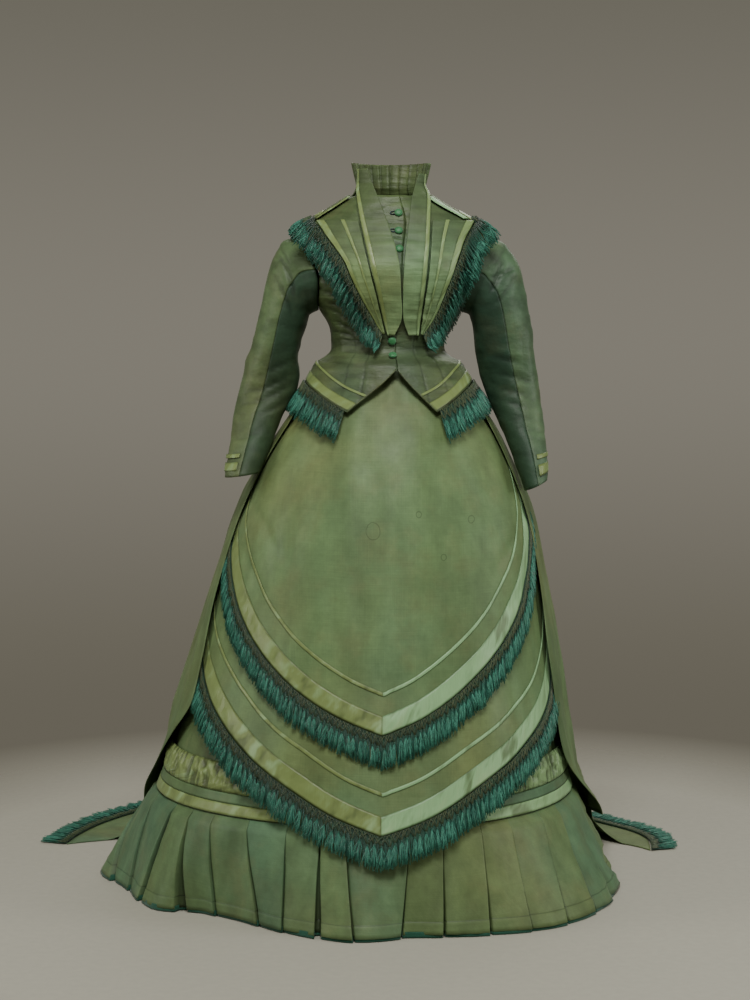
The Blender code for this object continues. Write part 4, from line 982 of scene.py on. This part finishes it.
def bodice_panel(word, side, front):
    """One front or back, with its seams, darts and creases."""
    half = (ARMHOLE_HIGH - ARMHOLE_LOW) / 2
    arm = ARMHOLE_LOW + half * (1 + np.cos(np.linspace(0, np.pi, 32)))
    above = np.linspace(1.405, ARMHOLE_HIGH + 0.004, 18)
    levels = np.concatenate([above, arm, np.linspace(1.166, 1.098, 18)])
    from_middle = (levels - (ARMHOLE_LOW + ARMHOLE_HIGH) / 2) / half
    turn = ARMHOLE_WIDE * np.sqrt(np.maximum(1 - from_middle**2, 0.0))
    turn = np.where((levels > ARMHOLE_LOW) & (levels < ARMHOLE_HIGH), turn, 0.3)
    outer = side * (90 - turn if front else 90 + turn)
    inner = smooth(CENTRE_LINE, levels) + side * 0.2 if front else np.full(len(levels), side * 179.8)
    across, height = np.meshgrid(np.linspace(0, 1, 78 if front else 44), levels)
    azimuth = inner[:, None] + (outer - inner)[:, None] * across
    hem = cornered(BASQUE_HEM, azimuth[-1], BASQUE_CORNERS)
    down = np.linspace(0, 1, 36)[1:, None]
    height = np.concatenate([height, height[-1:] + (hem - height[-1:]) * down])
    azimuth = np.concatenate([azimuth, np.repeat(azimuth[-1:], 35, axis=0)])
    grid = torso_base(azimuth, height)
    press = 0.0012 * noise(grid, (0.035, 0.035, 0.022), 41 + side)
    press = press + 0.0005 * noise(grid, (0.014, 0.014, 0.008), 43)
    dark = 0.0
    if front:
        folds = FRONT_CREASE_GAIN * creases(grid, FRONT_CREASES)
        press = press + folds
        # The creases get painted shade; below, the seams and darts get darker lines.
        dark = 0.5 * ease(-folds, 0.0004, 0.003)
        seams = [(low + (high - low) * ease(height, 0.98, 1.21), 0.7, 0.0011) for low, high in DARTS]
        reach = 1 - ease(height, 1.205, 1.235)
    else:
        seams = [(side * 150.0, 0.9, 0.001), (side * 118.0, 0.9, 0.001)]
        reach = 1.0
    for line, width, depth in seams:
        near = bell(azimuth - line, width) * reach
        press = press - depth * near
        dark = np.maximum(dark, 0.5 * near)
    grid = grid + normal_at(torso_base, azimuth, height) * press[..., None]
    add_cloth(("bodice_front_" if front else "bodice_back_") + word, grid, BODICE_PAINTED_SHADE_TAFFETA, "stretched",
              "underskirt_cloth", flip=(side < 0) == front, shade=dark, tint=0.2)


def basque_trim(word, side):
    """The satin band, the piping and the rolled edge of one basque point."""
    cloth = "bodice_front_" + word + "_cloth"
    tip = BASQUE_CORNERS[0] if side < 0 else BASQUE_CORNERS[2]
    # The side's hem, carried on straight past its point
    rows = [row for row in BASQUE_HEM if side * (row[0] - tip) >= 0][::side]
    slope = abs((rows[1][1] - rows[0][1]) / (rows[1][0] - rows[0][0]))
    for part, low, high, swell in (("satin", 0.003, 0.022, 0.0003), ("piping", 0.04, 0.0455, 0.0006)):
        across, up = lattice(0, 1, 100, high, low, 8)
        mitre = tip - side * (up - 0.0022) * BASQUE_MITRE[word]
        azimuth = mitre + (side * 89.7 - mitre) * across
        edge = smooth(rows, azimuth) - slope * np.maximum(side * (tip - azimuth), 0.0)
        crown = crowned(up, low, high)
        band = moved(torso_base, azimuth, edge + up, ON_TOP + swell * crown)
        band = pushed(band, noise(band, 0.012, 45) * 0.0006 * crown)
        shade = 0.6 * stitched(up, low, high, 0.0004) + 0.4 * (across < 0.012)
        add_ribbon("basque_" + part + "_" + word, band, "stretched", cloth, flip=side < 0, shade=shade)
    notch = 4.2 if side < 0 else 5.8
    high = 0.0042
    azimuth, up = lattice(tip, notch, 60, high, 0.0, 6)
    level = cornered(BASQUE_HEM, azimuth, BASQUE_CORNERS) + up
    band = moved(torso_base, azimuth, level, 0.0006 + 0.0014 * np.sin(np.pi * up / high) ** 0.5)
    add_cloth("basque_edge_" + word, band, BODICE_PAINTED_SHADE_TAFFETA, "stretched", cloth, "_roll", wall=TRIM,
              flip=side > 0, solid=False, shade=0.7 * (up > 0.004))


def bodice():
    for word, side in (("left", -1), ("right", 1)):
        bodice_panel(word, side, True)
        bodice_panel(word, side, False)
        basque_trim(word, side)


def limb_point(rings, side, k, angle):
    """Points of a sleeve's sections, the first of them at k = 1."""
    table = np.column_stack([np.arange(1, len(rings) + 1), rings])
    out_x, out_z, in_x, in_z, y, deep, tuck = (smooth(table, k, c) for c in range(1, 8))
    outer = joined(out_x, y, out_z)
    inner = joined(in_x, y, in_z)
    limb = (outer + inner) / 2 + (outer - inner) / 2 * np.cos(angle)[..., None]
    limb[..., 1] -= deep * np.sin(angle)
    limb[..., 0] -= side * tuck * np.sin(angle) ** 2
    return limb


def sleeve_point(rings, side, k, turn):
    """Sleeve points, with k from 0 at the armhole; turn 0 is the outer side and 90 degrees the front."""
    angle = np.radians(turn)
    limb = limb_point(rings, side, np.maximum(k, 1.0), angle)
    first = limb_point(rings, side, np.ones_like(k), angle)
    second = limb_point(rings, side, np.full_like(k, 2.0), angle)
    middle = (ARMHOLE_LOW + ARMHOLE_HIGH) / 2
    height = middle + (ARMHOLE_HIGH - middle) * np.cos(angle)
    azimuth = side * (90 - ARMHOLE_WIDE * np.sin(angle))
    seat = moved(torso_base, azimuth, height, SLEEVE_SEAT)
    reach = np.linalg.norm(first - seat, axis=-1, keepdims=True)
    leave = normal_at(torso_base, azimuth, height) * reach * 1.1
    t = np.clip(k, 0.0, 1.0)[..., None]
    return np.where(t < 1, hermite(t, seat, first, leave, second - first), limb)


def sleeves():
    """Two-piece sleeves with their seams, cap gathers, elbow creases and cuff bands."""
    for side, word, rings in ((-1, "left", LEFT_SLEEVE), (1, "right", RIGHT_SLEEVE)):
        front = "bodice_front_" + word + "_cloth"
        for part, first, last, columns, silk_of in (
            ("upper", BACK_SEAM, FRONT_SEAM, 74, SLEEVE_PAINTED_SHADE_TAFFETA),
            ("under", FRONT_SEAM + 0.3, 360 + BACK_SEAM - 0.3, 46, UNDER_SLEEVE_PAINTED_SHADE),
        ):
            k = np.concatenate([np.linspace(0, 1, 20), np.linspace(1.07, len(rings), 70)])
            turn, k = np.meshgrid(np.linspace(first, last, columns)[::-side], k)
            angle = np.radians(turn)
            grid = sleeve_point(rings, side, k, turn)
            gather = np.sin(angle * 26 + 2 * np.sin(angle * 5)) * 0.0013
            gather = gather * (1 - ease(k, 0.15, 0.85)) * ease(k, 0.0, 0.1) * ease(np.cos(angle), 0.0, 0.6)
            folds = SLEEVE_CREASE_GAIN * creases(grid, SLEEVE_CREASES)
            press = folds + 0.003 * noise(grid, (0.045, 0.045, 0.06), 50 + side)
            press = press + gather + 0.0012 * noise(grid, (0.026, 0.026, 0.015), 52)
            press = press * ease(k, 0.0, 0.4) * ease(len(rings) - k, 0.0, 0.25)
            seam = np.minimum(np.abs(turn - first), np.abs(turn - last))
            grid = pushed(grid, press - 0.0007 * bell(seam, 1.6) * ease(k, 0.0, 0.5))
            # Darker seam lines, a darker band where the sleeve goes into the armhole, and painted shade in
            # the creases. The right sleeve is turned further towards teal than the left: painted light.
            dark = 0.25 * bell(seam, 1.0) + 0.5 * (1 - ease(k, 0, 0.1)) + 0.4 * ease(-folds, 0.0004, 0.003)
            add_cloth("sleeve_" + part + "_" + word, grid, silk_of, "stretched", front, shade=dark,
                      tint=0.1 if side < 0 else 0.35)
        half_turn = 72.0
        for band, low, high in (("a", 0.00, 0.16), ("b", 0.34, 0.72)):
            turn, share = lattice(-half_turn, half_turn, 60, low, high, 6)
            k = len(rings) - 1 + share
            point = sleeve_point(rings, side, k, turn)
            outer, inner = (sleeve_point(rings, side, k, 0 * turn + far) for far in (0, 180))
            centre = (outer + inner) / 2
            grid = point + unit(point - centre) * (0.003 + 0.0005 * crowned(share, low, high))[..., None]
            edge = 0.5 * (stitched(share, low, high, 0.01) | (np.abs(turn) > half_turn - 1))
            add_ribbon("cuff_band_" + band + "_" + word, grid, "stretched", "sleeve_upper_" + word + "_cloth",
                       flip=side > 0, shade=edge)


# The front trim

def chest_point(x, height, out, guard=0.0):
    """Points of the bodice's front by their x, moved out. guard keeps them clear of the sleeve heads."""
    x, height = np.broadcast_arrays(np.asarray(x, float), np.asarray(height, float))
    out = np.broadcast_to(out, x.shape)
    half = np.where(x > 0, smooth(TORSO, height, 2), smooth(TORSO, height, 1))
    azimuth = np.degrees(np.arcsin(np.clip(x / half, -0.985, 0.985)))
    point = moved(torso_base, azimuth, height, out)
    beyond = np.maximum(np.abs(x) - 0.985 * half, 0.0)
    point[..., 0] += np.copysign(beyond, x)
    clear = guard * ease(np.abs(x), 0.115, 0.165) * ease(height, 1.15, 1.21)
    point[..., 1] = np.minimum(point[..., 1], -clear - out)
    return point


def front_trim():
    """Facings, revers, their satin bands and pipings, and the lapel fringes."""
    for word, side, facing, revers in (
        ("left", -1, LEFT_FACING, LEFT_REVERS),
        ("right", 1, RIGHT_FACING, RIGHT_REVERS),
    ):
        front = "bodice_front_" + word + "_cloth"
        under_facing = "facing_" + word + "_cloth"
        under_revers = "revers_" + word + "_cloth"
        for number, (start, cuts, low, high, out, rows, columns, wobble, crown, under) in enumerate((
            ("facing_", facing, 0.0, 1.0, FACING, 90, 24, 0.0008, 0.0, front),
            ("facing_satin_", facing, 0.03, 0.2, FACING + ON_TOP, 90, 7, 0.0004, 0.0004, under_facing),
            ("revers_", revers, 0.0, 1.0, REVERS, 80, 30, 0.0011, 0.0, front),
            ("revers_satin_", revers, 0.02, 0.22, REVERS + ON_TOP, 80, 10, 0.0006, 0.0004, under_revers),
            ("revers_piping_", revers, 0.6, 0.7, REVERS + ON_TOP, 80, 7, 0.0002, 0.0006, under_revers),
        )):
            t, height = lattice(low, high, columns, cuts[0][0], cuts[-1][0], rows)
            x = smooth(cuts, height, 1) * (1 - t) + smooth(cuts, height, 2) * t
            folds = creases(joined(x, 0, height), TRIM_CREASES)
            rise = wobble * noise(joined(x, height, 0), (0.022, 0.012, 1.0), 71 + number)
            grid = chest_point(x, height, out + crown * crowned(t, low, high) + rise + folds)
            # Painted shade in the creases.
            shade = 0.5 * ease(-folds, 0.0003, 0.0012)
            # Painted light: the right side's trim is turned further towards teal and mint than the left's.
            looks = {"flip": grid[0, 0, 0] > grid[0, -1, 0], "tint": 0.0 if side < 0 else 0.25}
            if crown:
                shade = np.maximum(shade, 0.45 * ((t == low) | (t == high)))
                add_ribbon(start + word, grid, "stretched", under, shade=shade, **looks)
            else:
                # Painted shade: the facings darker towards their top.
                shade = np.maximum(shade, 0.84 * ease(height, 1.18, 1.36))
                add_cloth(start + word, grid, FACING_PAINTED_LIGHT_TAFFETA, "stretched", under, shade=shade, **looks)
        edge = revers[:, :2]

        def place(s, down, edge=edge, side=side):
            height = edge[0, 0] + 0.01 + (edge[-1, 0] - 0.014 - edge[0, 0]) * s
            slope = (smooth(edge, height - 0.01) - smooth(edge, height + 0.01)) / 0.02
            along = unit(np.stack([slope, -np.ones_like(slope)], axis=-1))
            away = np.stack([-along[..., 1] * side, along[..., 0] * side], axis=-1)
            hang = unit(away * (0.9 - 0.75 * s)[..., None] + np.array([0.0, -0.75]))
            spot = np.stack([smooth(edge, height), height], axis=-1) + away * 0.0012 + hang * down[..., None]
            x = spot[..., 0]
            height = spot[..., 1]
            out = REVERS + 0.007 * (1 - ease(height, 1.09, 1.13))
            here = chest_point(x, height, out, guard=SLEEVE_HEAD * ease(down, 0.004, 0.03))
            return here, unit(joined(x * 1.5, -1.0, 0.2))

        add_fringe("lapel_fringe_" + word, under_revers, place, 0.3, 80 + side, drop=0.06)


def shoulder_collar():
    """Shoulder and back collar with its band and fringe, and the band's ends on the shoulders."""
    cloth = "shoulder_collar_cloth"

    def grid_of(low, rows, out):
        azimuth, share = lattice(COLLAR_EDGE[0][0], COLLAR_EDGE[-1][0], 200, low, 1.0, rows)
        edge = smooth(COLLAR_EDGE, azimuth)
        grid = moved(torso_base, azimuth, COLLAR_TOP + (edge - COLLAR_TOP) * share, out)
        return pushed(grid, noise(grid, 0.02, 91) * 0.0006)

    def place(s, down):
        azimuth = 67 + 226 * s
        start = moved(torso_base, azimuth, smooth(COLLAR_EDGE, azimuth), SHOULDER_COLLAR)
        side = np.abs(np.sin(np.radians(azimuth)))
        plan = plan_of(start)
        slope = unit(plan * side[..., None] + joined(0, 0, 0.9 * side - 1.2))
        bend = joined(0, 0, -0.45 * down / FRINGE_LENGTH * side)
        point = start + slope * 0.0007 + unit(slope + bend) * down[..., None] + plan * 0.0003
        return point, unit(np.where(side[..., None] > 0.6, plan * 0.6 + np.array([0, 0, 0.8]), plan))

    add_cloth("shoulder_collar", grid_of(0.0, 15, SHOULDER_COLLAR), BODICE_PAINTED_SHADE_TAFFETA, "stretched",
              "bodice_back_left_cloth")
    add_ribbon("shoulder_satin", grid_of(0.7, 9, SHOULDER_COLLAR + ON_TOP), "stretched", cloth)
    add_fringe("collar_fringe", cloth, place, 0.66, 95, drop=0.058)
    # Painted light: the right shoulder's satin end is lighter mint, the left's dark olive.
    for word, side, reach, tint in (("left", -1, 7.5, 0.0), ("right", 1, 17.0, 1.0)):
        across, t = lattice(0, 1, 24, 0, 1, 8)
        azimuth = side * (67.5 - reach * (1 - 0.5 * across) * t)
        out = SHOULDER_COLLAR + 0.0008 * crowned(t, 0, 1)
        band = moved(torso_base, azimuth, 1.4 - 0.046 * across, out)
        add_ribbon("shoulder_satin_end_" + word, band, "stretched", cloth, flip=side < 0, solid=False,
                   tint=tint)


def standing_collar():
    """The pleated collar round the sides and back of the neck."""
    low, high = 1.4058, 1.48
    shares, folds = np.array(COLLAR_PLEAT * COLLAR_PLEATS + [(0.0, 0.0)]).T
    starts = np.repeat(np.arange(COLLAR_PLEATS + 1), len(COLLAR_PLEAT))[:len(shares)]
    azimuth, level = np.meshgrid(84 + 192 * (starts + shares) / COLLAR_PLEATS, np.linspace(high, low, 26))
    back = np.abs(np.sin(np.radians((azimuth - 180) / 2)))
    fall = 0.03 * back**6 * (level - low) / (high - low)
    flare = 0.01 * ease(level, 1.41, 1.5) + 0.002 * ease(level, low, 1.436)
    out = flare + folds * 0.0075 * (0.3 + 9 * (level - low))
    point = ring_point(TORSO, azimuth, np.minimum(level, 1.43))
    grid = joined(point[..., 0], point[..., 1], level - fall) + plan_of(point) * out[..., None]
    add_cloth("standing_collar", grid, BODICE_PAINTED_SHADE_TAFFETA, "gathered", "bodice_back_left_cloth",
              shade=0.4 * (1 - folds) ** 2)


def basque_fringes():
    for number, (word, first, last, along, cloth) in enumerate((
        ("left", -90.0, -26.0, 0.21, "bodice_front_left_cloth"),
        ("right", 29.0, 90.0, 0.2, "bodice_front_right_cloth"),
        ("back", 92.0, 268.0, 0.62, "bodice_back_left_cloth"),
    )):

        def place(s, down, first=first, last=last):
            azimuth = first + (last - first) * s
            level = cornered(BASQUE_HEM, wrapped(azimuth), BASQUE_CORNERS) - 0.0008 - down
            return torso_base(azimuth, level), normal_at(torso_base, azimuth, level)

        add_fringe("basque_fringe_" + word, cloth, place, along, 110 + number)


def buttons():
    """Cloth-covered domes with a shank rim, and a dark loop beside the upper three."""
    angle = 2 * np.pi * np.arange(32) / 32
    radius, rise = BUTTON_RADIUS * DOME.T[..., None]
    index = np.arange(32 * len(DOME)).reshape(len(DOME), 32)
    top = np.full(32, index.size)
    caps = np.stack([index[-1], np.roll(index[-1], -1), top], axis=-1).tolist()
    faces = walls(index) + caps + index[:1, ::-1].tolist()
    for number, (x, height, lift) in enumerate(BUTTONS):
        seat = chest_point(x, height, 0.0)
        normal = unit(chest_point(x, height, 0.01) - seat)
        turn = np.array(Vector(normal).to_track_quat("Z", "Y").to_matrix())
        uneven = radius * (1 + np.random.default_rng(120 + number).uniform(-0.012, 0.012, index.shape))
        dome = joined(uneven * np.cos(angle), uneven * np.sin(angle), rise).reshape(-1, 3)
        points = np.concatenate([dome, [(0, 0, BUTTON_RADIUS * DOME_TOP)]]) @ turn.T + seat + normal * lift
        name = "button_%d" % (number + 1)
        add_piece(name + "_dome", mesh_from(name, points, faces, BUTTON), [name])
        if number < 3:
            turn = np.radians(np.linspace(35, 325, 19))
            across = x - 0.0105 + 0.0065 * np.cos(turn)
            stray = 0.0006 * noise(joined(across, height, number), 0.004, 130)
            level = height + 0.003 * np.sin(turn) + stray
            path = chest_point(across, level, 0.0016)
            normals = unit(chest_point(across, level, 0.01) - path)
            name = "loop_%d_cord" % (number + 1)
            points, rounds = prisms(normals[:1], path[None], np.full((1, 19), 0.001), 6)
            add_piece(name, mesh_from(name, points, rounds, LOOP))


# The stage: floor, lights and camera

FLOOR_RADIUS = 2.2

# How far from the dress the floor fades into the backdrop
FLOOR_FADE = (1.0, 1.65)

# The backdrop's grey by height of the line of sight: below, level and above
BACKDROP = [(0.405, (0.138, 0.127, 0.098)), (0.5, (0.222, 0.207, 0.17)), (0.62, (0.14, 0.132, 0.104))]

# Softboxes: place, point aimed at, size, power and colour
LAMPS = {
    "front_softbox": ((0.0, -2.8, 3.0), (0, 0, -0.35), (1.8, 1.3), 150, (1.0, 1.0, 0.95)),
    "left_softbox": ((-3.6, -0.9, 0.7), (0, 0, -0.3), (1.3, 2.4), 42, (1.0, 0.98, 0.92)),
    "right_softbox": ((3.6, -0.9, 0.9), (0, 0, -0.3), (1.3, 2.4), 52, (1.0, 1.0, 0.95)),
    "back_softbox": ((0.6, 3.2, 1.8), (0, 0, -0.1), (2.6, 2.0), 34, (1.0, 0.98, 0.96)),
}

# The camera: 4.1 m in front of the waist and level with it, as the photograph was taken
CAMERA_DISTANCE = 4.1
CAMERA_LENS = 70.85
CAMERA_SHIFT = (-0.015, -0.156)


def floor():
    n = Nodes("floor_paper")
    flat = n.add("Mapping", {"Vector": n.place, "Scale": (1.0, 1.0, 0.0)})
    away = n.add("VectorMath", {0: flat.outputs[0]}, operation="LENGTH")
    grain = n.noise(n.place, 60.0, 3.0)
    tone = n.mix(n.ramp(grain, 0.3, 0.7), (0.42, 0.405, 0.345), (0.4, 0.385, 0.33))
    paper = n.shader(tone, (grain, 0.72, 0.8), {
        "Alpha": n.ramp(away.outputs["Value"], *FLOOR_FADE, 1.0, 0.0), "Specular IOR Level": 0.2})
    angle = 2 * np.pi * np.arange(64) / 64
    points = joined(FLOOR_RADIUS * np.cos(angle), FLOOR_RADIUS * np.sin(angle), 0)
    linked("studio_floor", mesh_from("studio_floor", points, [tuple(range(64))], paper))


def lights():
    for name, (spot, aim, size, power, colour) in LAMPS.items():
        data = bpy.data.lights.new(name, "AREA")
        data.shape = "RECTANGLE"
        data.size, data.size_y = size
        data.energy = power
        data.color = colour
        item = linked(name, data)
        item.location = spot
        item.rotation_euler = (Vector(aim) - Vector(spot)).to_track_quat("-Z", "Y").to_euler()


def backdrop():
    world = bpy.data.worlds.new("studio")
    bpy.context.scene.world = world
    world.use_nodes = True
    nodes = world.node_tree.nodes
    links = world.node_tree.links
    split = nodes.new("ShaderNodeSeparateXYZ")
    links.new(nodes.new("ShaderNodeTexCoord").outputs["Generated"], split.inputs[0])
    level = nodes.new("ShaderNodeMapRange")
    level.inputs[1].default_value = -1.0
    links.new(split.outputs["Z"], level.inputs[0])
    ramp = nodes.new("ShaderNodeValToRGB")
    stops = ramp.color_ramp.elements
    ramp.color_ramp.interpolation = "EASE"
    for spot, (height, colour) in enumerate(BACKDROP):
        stop = stops[0] if spot == 0 else stops.new(height)
        stop.position = height
        stop.color = (*colour, 1.0)
    stops[-1].color = (*BACKDROP[-1][1], 1.0)
    links.new(level.outputs[0], ramp.inputs[0])
    links.new(ramp.outputs["Color"], nodes["Background"].inputs["Color"])


def camera():
    data = bpy.data.cameras.new("camera")
    data.sensor_fit = "VERTICAL"
    data.sensor_height = 36.0
    data.lens = CAMERA_LENS
    data.shift_x, data.shift_y = CAMERA_SHIFT
    item = linked("camera", data)
    item.location = (0, -CAMERA_DISTANCE, 0)
    item.rotation_euler = (math.pi / 2, 0, 0)
    bpy.context.scene.camera = item


camera()
lights()
backdrop()
floor()
underskirt()
hem_bands()
flounce()
apron("lower_apron", LOWER_HEM, LOWER_APRON, 70, 130)
apron("upper_apron", UPPER_HEM, UPPER_APRON, 84, 150)
overskirt()
bodice()
sleeves()
front_trim()
shoulder_collar()
standing_collar()
basque_fringes()
buttons()
declare_cloths()
